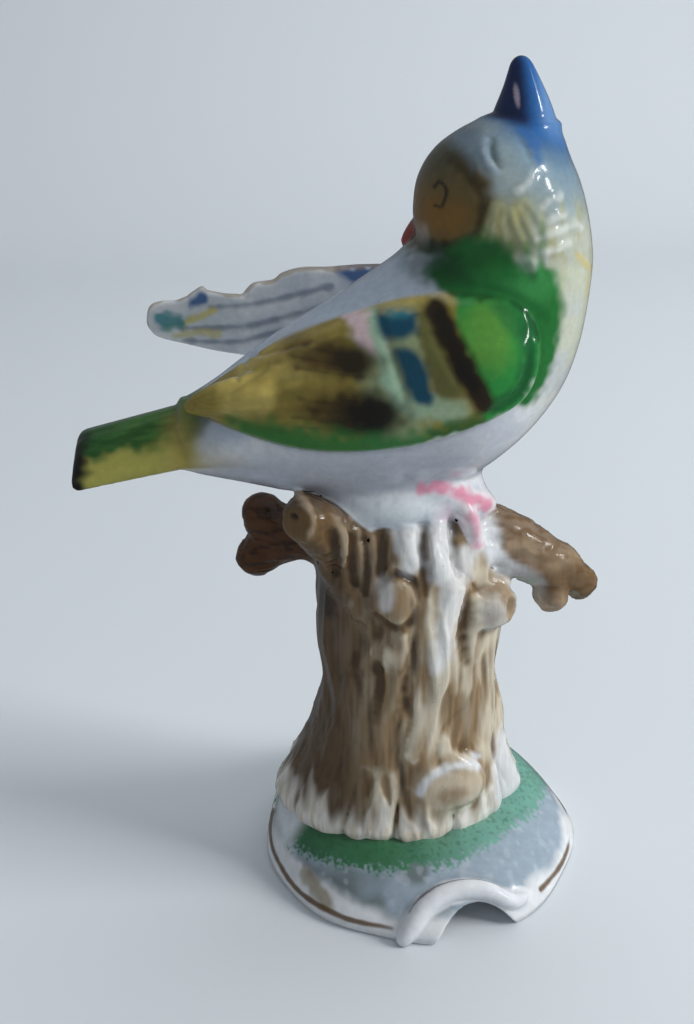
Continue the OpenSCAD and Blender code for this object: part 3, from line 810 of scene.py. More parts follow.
def piece(name, points, faces, normals, data, material, replaces, cap=True):
    """Makes one named object from its part of a mesh, with its painted layers."""
    faces = np.asarray(faces)
    used, inverse = np.unique(faces, return_inverse=True)
    faces = inverse.reshape(faces.shape)
    points, normals = points[used], normals[used]
    fans = []
    count = len(points)
    if cap:
        points, fans, normals = close_holes(points, faces, normals)
    mesh = bpy.data.meshes.new(name)
    mesh.from_pydata((points * MM).tolist(), [], faces.tolist() + [list(map(int, f)) for f in fans])
    mesh.validate()
    mesh.update()
    for key, values in data.items():
        values = values[used]
        extra = len(points) - count
        if values.ndim == 2:
            full = np.ones((len(points), 4), np.float32)
            full[:count, :3] = values
            full[count:, :3] = values.mean(0)
            layer = mesh.color_attributes.new(key, "FLOAT_COLOR", "POINT")
            layer.data.foreach_set("color", full.ravel())
        else:
            full = np.concatenate([values, np.full(extra, values.mean())]).astype(np.float32)
            layer = mesh.attributes.new(key, "FLOAT", "POINT")
            layer.data.foreach_set("value", full)
    mesh.shade_smooth()
    if len(mesh.vertices) == len(points):
        mesh.normals_split_custom_set_from_vertices(normals.tolist())
    mesh.materials.append(material)
    thing = bpy.data.objects.new(name, mesh)
    bpy.context.scene.collection.objects.link(thing)
    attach(thing, "root")
    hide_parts(replaces)
    return thing


# ---- paint ---------------------------------------------------------------------

WHITE = tone(226, 230, 234)
LAVENDER = tone(186, 194, 208)
GREY_BLUE = tone(168, 182, 200)
BARK = tone(152, 128, 96)
BARK_DARK = tone(82, 62, 40)
BARK_GREY = tone(164, 152, 130)
GREEN = tone(34, 112, 50)
GREEN_DARK = tone(14, 62, 28)
GREEN_BRIGHT = tone(44, 140, 62)
GREEN_YELLOW = tone(96, 150, 60)
OCHRE = tone(140, 126, 58)
OCHRE_PALE = tone(186, 168, 94)
UMBER = tone(44, 32, 16)
OLIVE = tone(96, 96, 52)
TEAL = tone(18, 70, 92)
TEAL_PALE = tone(70, 150, 160)
MINT = tone(152, 184, 158)
BLUSH = tone(222, 196, 204)
BLUE = tone(46, 100, 164)
NAVY = tone(28, 44, 84)
SKY = tone(120, 160, 204)
PINK = tone(222, 128, 158)
GOLD = tone(92, 64, 26)
BLACK = tone(16, 18, 12)


class Coat:
    """Colours at points, laid on one over the other."""

    def __init__(self, p, base):
        self.p = p
        self.x, self.y, self.z = p.T
        self.colour = np.tile(np.asarray(base, float), (len(p), 1))
        self.ragged = noise(self.x, self.y, self.z, 1.1) - 0.5
        self.cloud = noise(self.x, self.y, self.z, 3.5, 9.0) - 0.5
        self.side = 1.0

    def lay(self, mask, colour):
        """Lays a colour where the mask is 1. Only what is on the chosen side takes it."""
        m = np.clip(mask * self.side, 0, 1)[:, None]
        self.colour += m * (np.asarray(colour) - self.colour)

    def fill(self, colour):
        self.lay(np.ones(len(self.x)), colour)

    def area(self, points, colour, soft=0.7, ragged=0.4, strength=1.0):
        """Fills an outline given as (x, z) points."""
        d = patch(self.x, self.z, outline(points)) + ragged * 2 * self.ragged
        self.lay(strength * (1 - smooth(-soft, soft, d)), colour)

    def line(self, points, width, colour, soft=0.4, ragged=0.2, strength=1.0):
        """Draws a stroke along (x, z) points."""
        u = np.stack([self.x, self.z], 1)
        flat = curve(points, 4)
        path = np.column_stack([flat, np.zeros(len(flat))])
        d, _ = along(np.column_stack([u, np.zeros(len(u))]), path)
        self.lay(strength * (1 - smooth(width - soft, width + soft, d + ragged * 2 * self.ragged)), colour)

    def spot(self, centre, radii, colour, soft=0.5, strength=1.0):
        """A soft blot round a point (x, z)."""
        q = np.hypot((self.x - centre[0]) / radii[0], (self.z - centre[1]) / radii[1])
        self.lay(strength * (1 - smooth(1 - soft, 1 + soft, q + 0.4 * self.ragged)), colour)


def paint_wing(coat):
    """The near wing, from the yellow tip to the green shoulder."""
    x, z = coat.x, coat.z
    coat.fill(OCHRE)
    bearing = np.arctan2(z - 79.0, x + 35.0)
    quill = 0.5 + 0.5 * np.sin(bearing * 46 + 1.2 * coat.cloud)
    rear = 1 - smooth(-17, -11, x + 3 * coat.cloud)
    coat.lay(0.45 * quill * rear, tone(120, 104, 50))
    coat.lay(0.7 * smooth(0.2, 0.5, coat.cloud + 0.25) * rear, OCHRE_PALE)
    coat.area([(-30, 82), (-20, 87), (-12, 91), (-10, 93), (-20, 90.5), (-30, 84.5)],
              OCHRE_PALE, 1.2, 0.6, 0.5)
    coat.area([(-12, 96), (-4, 96), (-4, 73), (-10, 73)], tone(140, 156, 118), 1.6, 0.8, 0.9)
    coat.area([(-13, 91.6), (-9.2, 91.6), (-8.8, 86.8), (-10.6, 86.4), (-12.6, 88.4)],
              BLUSH, 0.8, 0.6, 0.85)
    coat.area([(-10.4, 92), (-8.6, 92), (-8.4, 87), (-6.6, 83), (-5.8, 79.5), (-8.2, 80.5), (-9.8, 86)],
              MINT, 0.7, 0.5)
    coat.area([(-5.6, 82), (0.6, 81.2), (1.6, 78.6), (-3.0, 78.2), (-6.0, 79.4)], MINT, 0.9, 0.6, 0.7)
    coat.area([(-4.6, 94), (-1.2, 93), (-1.2, 87), (0.8, 82), (-2.0, 81.5), (-4.2, 86)], OLIVE, 0.8, 0.5)
    coat.area([(-9.2, 91.6), (-5.2, 92.2), (-5.0, 89.0), (-8.8, 88.4)], TEAL, 0.7, 0.3)
    coat.area([(-7.4, 87.2), (-4.6, 86.8), (-3.0, 81.4), (-5.2, 80.8), (-6.8, 84.0)], TEAL, 0.7, 0.3)
    coat.spot((-7.0, 91.4), (1.6, 0.9), TEAL_PALE, 0.6, 0.5)
    coat.area([(-12, 94), (2, 96), (2, 92.4), (-3, 92.0), (-12, 91)], OCHRE_PALE, 0.7, 0.4, 0.8)
    coat.spot((-15.4, 85.6), (5.4, 1.9), tone(74, 54, 24), 0.6, 0.85)
    coat.spot((-12.6, 85.6), (2.8, 1.9), tone(30, 22, 10), 0.6, 0.9)
    coat.spot((-13.6, 79.4), (5.6, 2.7), tone(66, 48, 18), 0.5, 0.85)
    coat.spot((-10.6, 79.2), (4.4, 3.0), tone(14, 12, 8), 0.5, 0.97)
    for i in range(9):
        z0 = 77.0 + 1.15 * i
        start = (-19.5 - 1.2 * math.sin(2.1 * i), z0 + 0.4)
        coat.line([start, (-15.5, z0 + 0.15), (-11.5, z0)],
                  0.12, UMBER, 0.3, 0.25, 0.55 * (i not in (4, 5)))
    coat.area([(-29, 77.6), (-20, 77.6), (-12.6, 76.6), (-6, 76.8), (1.6, 78.2), (6.4, 79.8),
               (6.0, 76.0), (-4, 73), (-14, 72), (-24, 74)], GREEN, 1.5, 0.7, 0.9)
    coat.area([(-3.2, 76.6), (1.6, 78.6), (6.0, 80.2), (8.0, 78.0), (0, 74)], GREEN_DARK, 0.8, 0.6, 0.5)
    coat.area([(0.4, 93.4), (6.0, 94), (10.6, 91), (12, 86), (11, 79), (4.6, 77.6), (3.4, 81), (1.2, 85)],
              GREEN_BRIGHT, 0.8, 0.5)
    coat.spot((4.0, 88.8), (3.2, 4.0), GREEN_YELLOW, 0.5, 0.75)
    coat.area([(4.6, 92.0), (7.4, 92.4), (10, 90.4), (10.6, 86), (9.4, 84.4), (7.6, 87.5)],
              tone(34, 104, 58), 0.7, 0.5, 0.6)
    coat.line([(-2.0, 91.6), (-0.9, 88.8), (0.4, 86.2), (2.2, 83.0), (3.8, 80.4)], 1.45, UMBER, 0.7, 0.3)
    coat.line([(-1.6, 91.2), (-0.6, 88.4), (2.2, 83.0)], 0.7, BLACK, 0.5, 0.3, 0.7)
    coat.area([(-1.6, 93.8), (3.7, 92.9), (8.2, 91.9), (10.6, 88.0), (12.8, 88), (11, 96), (-2, 97)],
              GREEN_DARK, 0.5, 0.5, 0.9)
    coat.area([(9.8, 91), (10.4, 86), (9.6, 81), (5.6, 78.8), (4.6, 80.6), (7.4, 82.6), (8.4, 86.4),
               (8.2, 90)], tone(24, 92, 48), 0.8, 0.4, 0.8)
    coat.line([(10.6, 82.4), (9.2, 79.8), (5.6, 77.6), (1.0, 76.2), (-3.0, 75.2)],
              0.45, tone(200, 216, 200), 0.5, 0.5, 0.7)


def paint_body(coat, normals):
    """The breast, belly, back, rump and skirt."""
    x, y, z = coat.x, coat.y, coat.z
    coat.fill(WHITE)
    # painted shade: surfaces that face down, towards the front, are painted a darker grey
    under = smooth(0.3, -0.5, normals[:, 2])
    coat.lay(0.85 * under * smooth(12, 0, x), tone(160, 164, 176))
    coat.lay(0.8 * smooth(9, 15, x) * smooth(72, 84, z), tone(192, 198, 174))
    coat.lay(0.5 * smooth(0.1, 0.5, coat.cloud + 0.2), LAVENDER)
    upper = smooth(82, 86, z - 0.35 * x * (x < 0)) * smooth(8, 2, x)
    coat.lay(0.9 * upper * (y > -9), GREY_BLUE)
    coat.lay(0.5 * upper * smooth(0.0, 0.3, coat.cloud), LAVENDER)
    rump = smooth(-31.5, -34.0, x + 1.5 * coat.cloud) * smooth(70, 72.5, z)
    coat.lay(0.9 * rump, tone(150, 150, 72))
    coat.lay(0.8 * rump * smooth(73.5, 76, z), tone(60, 110, 46))
    coat.side = smooth(2, -2, y)
    coat.area([(-34.4, 74.0), (-34.4, 80.4), (-31.6, 80.0), (-30.6, 76.6)], GREEN_DARK, 0.6, 0.4, 0.6)
    coat.side = 1.0
    skirt = smooth(66.5, 64.0, z)
    streak = noise(x, y, z, (1.1, 1.1, 5.0))
    coat.lay(0.8 * skirt, tone(214, 224, 230))
    coat.lay(0.5 * skirt * smooth(0.55, 0.8, streak), GREY_BLUE)
    coat.side = smooth(0, -3, y)
    coat.lay(0.25 * smooth(66.5, 62, z) * smooth(-3, 1.5, x) * smooth(0.35, 0.6, coat.cloud + 0.5), PINK)
    coat.side = 1.0
    foot_strokes(coat)


def paint_head(coat):
    """The crown, face, eye and the tufts down to the breast."""
    x, y, z = coat.x, coat.y, coat.z
    head = smooth(97.0, 100.5, z + 0.12 * x)
    neck = smooth(91.0, 97.5, z + 0.25 * x - 1.5)
    strip = noise(x, y, z, (0.9, 0.9, 4.0))
    coat.lay(neck * smooth(7, 14, x + 2 * coat.cloud), tone(198, 204, 184))
    coat.lay(0.7 * neck * smooth(13, 17, x) * smooth(0.5, 0.7, strip), tone(206, 196, 132))
    coat.lay(head, tone(158, 174, 176))
    coat.lay(0.8 * head * smooth(106.5, 103, z) * smooth(12, 8, x), tone(150, 148, 100))
    coat.lay(0.6 * head * smooth(104, 100, z) * smooth(9, 12, x), tone(206, 206, 182))
    coat.lay(0.5 * head * smooth(0.5, 0.7, strip) * smooth(106, 103, z), tone(176, 168, 104))
    coat.area([(-5, 112), (0.5, 110.8), (3.2, 108.8), (4.4, 105.4), (4.0, 102.2), (2.4, 99.8),
               (-1.0, 98.2), (-5, 98.4)], tone(96, 80, 40), 1.0, 0.5, 0.97)
    coat.area([(-5, 104.2), (-0.6, 104.4), (1.8, 103.4), (2.0, 101.6), (0.2, 99.8), (-5, 99.6)],
              tone(128, 92, 40), 1.6, 0.5, 0.8)
    coat.area([(-5, 114), (3.0, 113), (3.0, 110.2), (1.2, 108.0), (-1.8, 107.2), (-5, 108)],
              tone(66, 68, 52), 1.8, 0.6, 0.85)
    coat.line([(0.6, 108.8), (2.8, 106.4), (3.6, 103.6), (2.9, 100.9), (0.8, 99.3), (-2.4, 98.6)],
              0.6, tone(58, 48, 22), 0.7, 0.4, 0.75)
    coat.area([(0.4, 112), (2.0, 109.2), (3.8, 108.0), (5.4, 109.4), (5.8, 112.4)],
              tone(112, 134, 152), 1.2, 0.5, 0.7)
    for points in COMBED:
        coat.line(points, 0.25, tone(196, 196, 150), 0.35, 0.25, 0.35)
    # painted highlights: near-white strokes along the crests of the raised locks
    for points in LOCKS:
        coat.line(points, 0.4, tone(222, 228, 222), 0.4, 0.3, 0.7)
    coat.line([(4.4, 111.4), (3.8, 110.1), (4.2, 108.7), (5.1, 107.9)],
              0.3, tone(170, 188, 204), 0.3, 0.2, 0.7)
    coat.line([(5.2, 111.2), (4.7, 109.8), (5.3, 108.5)], 0.3, tone(84, 100, 96), 0.3, 0.2, 0.6)
    coat.line([(16.4, 97.6), (17.8, 96.3), (19.4, 94.9)], 0.4, tone(214, 192, 96), 0.4, 0.3, 0.6)
    blue = z + 0.5 * np.clip(x - 9, -6, 6) + 1.8 * coat.cloud
    coat.lay(0.7 * smooth(104.5, 110.5, blue) * smooth(4, 9, x), tone(104, 136, 160))
    coat.lay(0.85 * smooth(109.6, 112.8, blue), tone(66, 104, 146))
    coat.lay(smooth(111.4, 113.4, blue), BLUE)
    coat.line([(9.2, 112.4), (9.8, 110.6), (10.4, 109.0)], 0.7, BLUE, 0.6, 0.5, 0.7)
    # painted shadow under the chin
    coat.spot((0.2, 98.2), (3.0, 1.0), tone(26, 34, 18), 0.6, 0.85)
    # painted highlight: a pale grey glint at the root of the beak
    coat.side = smooth(0, -1, y)
    coat.spot((-2.6, 99.4), (0.6, 1.4), tone(176, 168, 160), 0.6, 0.4)
    coat.side = 1.0
    coat.line(EYE, 0.16, tone(30, 24, 12), 0.2, 0.05, 0.95)


def paint_cape(coat):
    """The green cape over the neck, its upper edge combed into the tufts."""
    coat.area([(-2.8, 95.8), (-0.5, 97.3), (1.4, 99.6), (4.3, 100.2), (5.7, 99.5), (7.3, 97.8),
               (9.4, 96.4), (11.5, 96.6), (13.6, 94.2), (14.7, 91.6), (14.4, 87.0), (13.2, 82.0),
               (11.0, 78.4), (9.0, 79.6), (10.4, 87.5), (8.6, 90.4), (3.7, 91.8), (-1.2, 93.4)],
              tone(34, 112, 50), 0.9, 0.5)
    for points in COMBED:
        x1, z1 = points[-1]
        coat.line([(x1 + 0.6, z1 - 2.0), (x1 + 0.3, z1 - 0.6), (x1 + 0.1, z1 + 0.4)],
                  0.4, tone(34, 112, 50), 0.6, 0.3, 0.6)
    coat.spot((-0.8, 96.0), (3.6, 2.2), GREEN_DARK, 0.7, 0.85)
    coat.spot((5.0, 98.6), (3.4, 1.6), tone(22, 84, 34), 0.7, 0.6)
    coat.spot((10.4, 94.2), (3.4, 1.8), tone(66, 150, 82), 0.7, 0.6)
    coat.line([(1.0, 94.6), (5.0, 94.2), (9.0, 92.6), (12.4, 90.0)], 0.5, tone(22, 92, 42), 0.6, 0.4, 0.6)


def paint_crest(coat):
    """Blue, with painted shade down its side towards the face, and a pale slot."""
    x, y, z = coat.x, coat.y, coat.z
    coat.fill(BLUE)
    # painted shade: the crest's left side, away from the light, is painted near navy
    coat.lay(0.95 * smooth(1.4, -0.8, x - np.interp(z, [112, 120], [9.8, 9.4])), tone(22, 36, 76))
    coat.lay(0.6 * smooth(10.6, 12.8, x), SKY)
    slot = np.hypot((x - np.interp(z, [113.5, 118], [8.9, 8.6])) / 0.45, (z - 116.0) / 1.9)
    coat.side = smooth(1, -0.5, y)
    coat.lay(1 - smooth(0.9, 1.7, slot), NAVY)
    coat.lay(0.9 * (1 - smooth(0.45, 0.9, slot)), tone(178, 166, 184))
    coat.side = 1.0
    coat.line([(5.4, 113.0), (7.4, 113.3), (9.2, 113.2)], 0.5, NAVY, 0.4, 0.3, 0.9)


def paint_beak(coat):
    """Red, with a dark tip."""
    coat.fill(tone(140, 70, 64))
    coat.lay(smooth(98.4, 97.0, coat.z), tone(170, 60, 58))
    coat.lay(0.7 * smooth(96.2, 95.2, coat.z), BLACK)


def foot_strokes(coat):
    """Pink brush strokes along the near leg and its toe."""
    coat.side = smooth(2, 0, coat.y)
    coat.line([(-3.0, 66.9), (-0.6, 66.6), (2.0, 65.8), (4.6, 63.9), (7.4, 62.0)],
              0.75, PINK, 0.6, 0.6, 0.8)
    coat.line([(4.3, 62.2), (4.9, 60.4), (5.3, 57.4)], 0.6, PINK, 0.6, 0.6, 0.6)
    coat.side = 1.0


def paint_foot(coat):
    """White, with the pink strokes."""
    coat.fill(tone(230, 222, 228))
    coat.lay(0.6 * smooth(2, 4, coat.y), PINK)
    foot_strokes(coat)


def paint_tail(coat):
    """Green, with a black end and a pale under side."""
    x, y, z = coat.x, coat.y, coat.z
    line = noise(x, y, z, (6.0, 0.7, 0.7))
    side = y + 1.6 * coat.ragged + 2.0 * coat.cloud
    coat.fill(tone(58, 104, 44))
    coat.lay(0.7 * smooth(0.45, 0.7, line), tone(34, 74, 26))
    coat.lay(0.5 * smooth(-41, -46, x), GREEN_DARK)
    coat.lay(0.8 * smooth(-3.8, -6.0, side), tone(168, 162, 84))
    coat.lay(0.6 * smooth(-39, -34, x) * smooth(1, -4, side), tone(160, 138, 76))
    low = z - 71.3 - 0.158 * (x + 49.3) + 0.055 * y * y
    coat.lay(0.85 * smooth(-0.5, -1.4, low) * smooth(-46, -40, x), tone(206, 206, 204))
    coat.lay(smooth(-46.4, -48.6, x + 1.6 * coat.ragged + 0.5 * coat.cloud), BLACK)


def paint_stump(coat, groove):
    """Brown wiped into the bark, left thin on what stands out, and cream at the foot."""
    x, y, z = coat.x, coat.y, coat.z
    fine = noise(x, y, z, (0.5, 0.5, 4.6), 4.0)
    thin = noise(x, y, z, (1.3, 1.3, 7.0), 7.0)
    coat.fill(BARK)
    coat.lay(0.75 * smooth(0.45, 0.8, thin), BARK_GREY)
    coat.lay(0.5 * smooth(0.45, 0.75, fine), tone(104, 78, 46))
    coat.lay(0.85 * smooth(0.0, 0.4, groove) * (1 - 0.7 * smooth(16, 11, z)), BARK_DARK)
    coat.lay(0.85 * smooth(0.0, -0.3, groove + 0.3 * coat.cloud - 0.016 * (x + 2)), tone(218, 210, 190))
    # painted shade: the trunk's left side, away from the light, is darkened
    coat.lay(0.75 * smooth(-8, -15, x), tone(66, 46, 26))
    foot = smooth(16.0, 10.0, z + 6.0 * (thin - 0.5) + 7 * groove)
    coat.lay(0.9 * foot, tone(234, 232, 226))
    coat.lay(0.5 * foot * smooth(0.45, 0.7, fine), tone(186, 168, 136))
    coat.lay(0.45 * foot * smooth(0.05, 0.3, groove), BARK)
    foot_strokes(coat)
    coat.side = smooth(0, -4, y)
    coat.area([(-6.8, 62), (-3.0, 62), (-3.4, 56), (-5.6, 55)], WHITE, 0.9, 0.5, 0.85)
    coat.area([(-2.0, 62), (1.6, 62), (1.0, 54), (-1.6, 54)], WHITE, 0.9, 0.5, 0.85)
    coat.area([(0.6, 56), (6.6, 58), (3.6, 52), (2.2, 46), (1.4, 40), (-1.6, 40), (-0.6, 48)],
              tone(228, 230, 230), 1.1, 0.6, 0.85)
    coat.area([(-9.2, 53.5), (-7.2, 54), (-7.4, 50), (-8.8, 49.6)], WHITE, 0.8, 0.4, 0.6)
    coat.area([(10.5, 20), (14.5, 23), (18, 15), (18, 9), (11.5, 9)], WHITE, 1.2, 0.8, 0.85)
    coat.spot((2.4, 18.0), (4.8, 4.0), tone(216, 202, 178), 0.5, 0.8)
    # painted highlight: a white arc along the top of the lower burl
    coat.line([(-2.6, 18.4), (-1.4, 20.8), (1.2, 22.2), (4.6, 22.3), (7.2, 21.2)],
              0.6, WHITE, 0.5, 0.3, 0.9)
    coat.line([(7.2, 20.6), (7.8, 18.2), (6.4, 15.4), (3.0, 14.4)], 0.5, BARK, 0.5, 0.4, 0.7)
    coat.spot((2.2, 17.4), (2.4, 1.7), BARK, 0.6, 0.75)
    coat.spot((-16.2, 47.6), (1.8, 2.8), tone(52, 38, 28), 0.5, 0.9)
    coat.side = 1.0


def paint_branches(coat, groove, where):
    """Brown on the limbs, with white left on the right branch and the boss."""
    x, y, z = coat.x, coat.y, coat.z
    fine = noise(x, y, z, (2.2, 0.6, 0.6), 2.0)
    right = where["right_branch"]
    coat.side = right
    coat.fill(WHITE)
    axis = np.interp(x, [8.2, 13.0, 17.0, 20.0], [55.4, 53.6, 51.2, 49.8])
    upper = np.clip(smooth(-2.2, 0.2, z - axis + 1.6 * coat.cloud) + smooth(15.6, 17.4, x), 0, 1)
    brown = smooth(8.2, 10.4, x + 1.2 * coat.cloud + 0.35 * (z - 57)) * upper
    # painted shade: the branch's white underside is painted a darker grey
    coat.lay(0.8 * smooth(54, 50, z) * smooth(9, 12, x), tone(128, 122, 112))
    coat.lay(0.9 * brown, tone(116, 88, 52))
    coat.lay(0.6 * brown * smooth(0.4, 0.7, fine), tone(98, 70, 36))
    coat.lay(0.4 * brown * smooth(0.1, 0.35, coat.cloud), tone(178, 158, 128))
    coat.lay(0.8 * smooth(0.1, 0.4, groove) * smooth(10, 14, x), BARK_DARK)
    coat.lay(0.5 * smooth(49, 46, z) * smooth(20.5, 18.5, x) * smooth(14, 16, x), tone(166, 146, 128))
    foot_strokes(coat)
    coat.side = where["left_branch"]
    out = smooth(-15, -18, x)
    coat.lay(out, tone(84, 50, 18))
    coat.lay(0.7 * out * smooth(0.45, 0.7, fine), tone(44, 22, 6))
    coat.side = where["left_knot"]
    coat.lay(0.75 * smooth(-14, -16, x) * smooth(-0.35, 0.1, coat.cloud), tone(112, 86, 52))
    # painted highlight along the rim of the sawn knot
    coat.line([(-22.2, 65.4), (-20.6, 66.8), (-18.8, 66.0), (-18.0, 63.8), (-18.8, 61.6)],
              0.35, tone(196, 176, 150), 0.4, 0.3, 0.6)
    coat.lay(0.8 * smooth(-16.5, -14.5, x) * smooth(0.05, 0.3, groove), BARK_DARK)
    coat.lay(0.35 * smooth(-16.5, -14.5, x) * smooth(0.0, -0.3, groove + 0.2 * coat.cloud),
             tone(176, 156, 126))
    coat.spot((-20.5, 64.4), (0.5, 0.5), tone(40, 28, 20), 0.5, 0.9)
    coat.side = where["right_boss"]
    coat.lay(0.7 * np.ones(len(x)), tone(206, 202, 196))
    coat.line([(5.7, 50.1), (8.4, 50.3), (10.3, 48.4), (11.2, 45.0)], 0.9, BARK, 0.6, 0.4, 0.85)
    coat.side = 1.0


# ---- materials -------------------------------------------------------------------


def glaze(name, grain=1.0, streak=(1, 1, 1), pits=0.04, rough=0.13, ripple=0.12):
    """Painted porcelain under a clear glaze. Paint and the groove depth that drives the painted shade in
    grooves come from the mesh's own layers.
    """
    m = bpy.data.materials.new(name)
    m.use_nodes = True
    nodes = m.node_tree.nodes
    shader = nodes["Principled BSDF"]

    def fill(n, values):
        for key, value in values.items():
            n.inputs[key].default_value = value

    def node(kind, values, **settings):
        n = nodes.new("ShaderNode" + kind)
        for key, value in settings.items():
            setattr(n, key, value)
        fill(n, values)
        return n

    def link(source, output, target, socket):
        m.node_tree.links.new(source.outputs[output], target.inputs[socket])

    fill(shader, {"IOR": 1.5, "Coat Weight": 0.6, "Coat Roughness": 0.04, "Specular IOR Level": 0.5})
    paint = node("Attribute", {}, attribute_name="paint")
    groove_depth = node("Attribute", {}, attribute_name="groove_depth")
    place = node("TexCoord", {})
    stretch = node("Mapping", {"Scale": streak})
    link(place, "Object", stretch, "Vector")
    brush = node("TexNoise", {"Scale": 900 * grain, "Detail": 4, "Roughness": 0.6})
    link(stretch, "Vector", brush, "Vector")
    # brush marks: the paint is a little thicker and thinner from place to place
    marks = node("MapRange", {"From Min": 0.3, "From Max": 0.7, "To Min": 0.9, "To Max": 1.06})
    link(brush, "Fac", marks, "Value")
    thick = node("VectorMath", {}, operation="SCALE")
    link(paint, "Color", thick, 0)
    link(marks, "Result", thick, "Scale")
    # painted shade: the colour is darkened by up to a fifth in the grooves
    groove_shade = node("MapRange", {"From Min": 0.02, "From Max": 0.45, "To Min": 1.0, "To Max": 0.8})
    link(groove_depth, "Fac", groove_shade, "Value")
    groove_shaded = node("VectorMath", {}, operation="SCALE")
    link(thick, "Vector", groove_shaded, 0)
    link(groove_shade, "Result", groove_shaded, "Scale")
    # specks fired into the glaze
    speck = node("TexVoronoi", {"Scale": 420})
    link(place, "Object", speck, "Vector")
    rare = node("Math", {1: pits}, operation="LESS_THAN")
    link(speck, "Distance", rare, 0)
    amount = node("Math", {1: 0.45}, operation="MULTIPLY")
    link(rare, 0, amount, 0)
    dirt = node("Mix", {7: (0.05, 0.04, 0.035, 1)}, data_type="RGBA")
    link(groove_shaded, "Vector", dirt, 6)
    link(amount, 0, dirt, 0)
    link(dirt, 2, shader, "Base Color")
    # the glaze is smooth but not flat: a slow ripple
    wave = node("TexNoise", {"Scale": 260, "Detail": 3})
    link(stretch, "Vector", wave, "Vector")
    bump = node("Bump", {"Strength": ripple, "Distance": 0.0006})
    link(wave, "Fac", bump, "Height")
    link(bump, "Normal", shader, "Normal")
    dull = node("MapRange", {"To Min": rough - 0.05, "To Max": rough + 0.1})
    link(brush, "Fac", dull, "Value")
    link(dull, "Result", shader, "Roughness")
    return m


# ---- pieces ----------------------------------------------------------------------

block, body = make_bird_and_stump()
points, quads = block.skin()
normals = block.slope(points)
groove = -block.at(block.hollows(1.2), points)  # over 0 in a groove, under 0 on a ridge
centres = points[quads].mean(1)
names = list(block.forms)
share = np.stack([block.at(block.forms[n], centres) for n in names])
label = np.array(names, dtype=object)[share.argmin(0)]
_, _, section = body.plan(centres[:, 0], centres[:, 2])
label[(label == "bird_torso") & (section > NECK)] = "bird_head"
label = settle(vote(label, quads, len(points)), quads, len(points))
depth = {n: block.at(block.forms[n], points) for n in names}
EDGE = 0.25
# how far the paint of each form runs into its neighbours', in mm
RUNS = {"crest": 1.6, "right_branch": 0.8, "left_branch": 0.8, "left_knot": 0.8, "right_boss": 0.8,
        "tail": 2.0}
own = {}
for n in names:
    nearest = np.min([depth[k] for k in names if k != n], axis=0)
    run = RUNS.get(n, EDGE)
    own[n] = smooth(-run, run, nearest - depth[n])
wood = np.min([depth[n] for n in WOODY], axis=0)
china = np.min([depth[n] for n in names if n not in WOODY], axis=0)
birdlike = smooth(-EDGE, EDGE, wood - china)

coat = Coat(points, WHITE)
paint_stump(coat, groove)
paint_branches(coat, groove, own)
bark_colour = coat.colour.copy()
bird = Coat(points, WHITE)
paint_body(bird, normals)
paint_head(bird)
paint_cape(bird)
BRUSHWORK = {"tail": paint_tail, "near_wing": paint_wing, "crest": paint_crest, "beak": paint_beak,
             "near_foot": paint_foot, "far_foot": paint_foot}
for form, brushwork in BRUSHWORK.items():
    layer = Coat(points, WHITE)
    brushwork(layer)
    bird.colour += own[form][:, None] * (layer.colour - bird.colour)
colour = bark_colour + birdlike[:, None] * (bird.colour - bark_colour)

SLOTS = {name: "bark_glaze" for name in WOODY}
SLOTS |= {name: name + "_glaze" for name in ("crest", "beak", "near_wing", "far_wing", "tail")}
SLOTS |= {"bird_torso": "body_glaze", "bird_head": "head_glaze", "base_plinth": "base_glaze"}
SLOTS |= {"near_foot": "foot_glaze", "far_foot": "foot_glaze"}
LOOKS = {"bark_glaze": {"grain": 0.9, "streak": (1.6, 1.6, 0.3), "rough": 0.2, "ripple": 0.4},
         "base_glaze": {"grain": 0.6}}
GLAZES = {s: glaze(s, **LOOKS.get(s, {})) for s in sorted(set(SLOTS.values()))}
# the groove layer darkens the colour in every groove: painted shade
layers = {"paint": colour, "groove_depth": groove}
for name in names + ["bird_head"]:
    chosen = quads[label == name]
    slot = SLOTS[name]
    piece("porcelain_" + name, points, chosen, normals, layers, GLAZES[slot], name)


def small_block(name, low, high, shape, brushwork, relief):
    """Makes one piece that is modelled apart from the rest, on a finer grid."""
    b = Block(low, high, FINE)
    b.add(name, [shape], 0.5, 0.5)
    b.begin_relief()
    relief(b)
    b.end_relief()
    p, f = b.skin()
    n = b.slope(p)
    c = Coat(p, WHITE)
    brushwork(c)
    g = -b.at(b.hollows(0.9), p)
    slot = SLOTS[name]
    piece("porcelain_" + name, p, f, n, {"paint": c.colour, "groove_depth": g}, GLAZES[slot], name, cap=False)


def far_wing_relief(b):
    """The same grooves on both faces."""
    for points in FAR_GROOVES:
        b.ridge(b.on_front(points), -0.45, 0.5)
        b.ridge(b.on_front(points, 1), -0.45, 0.5)


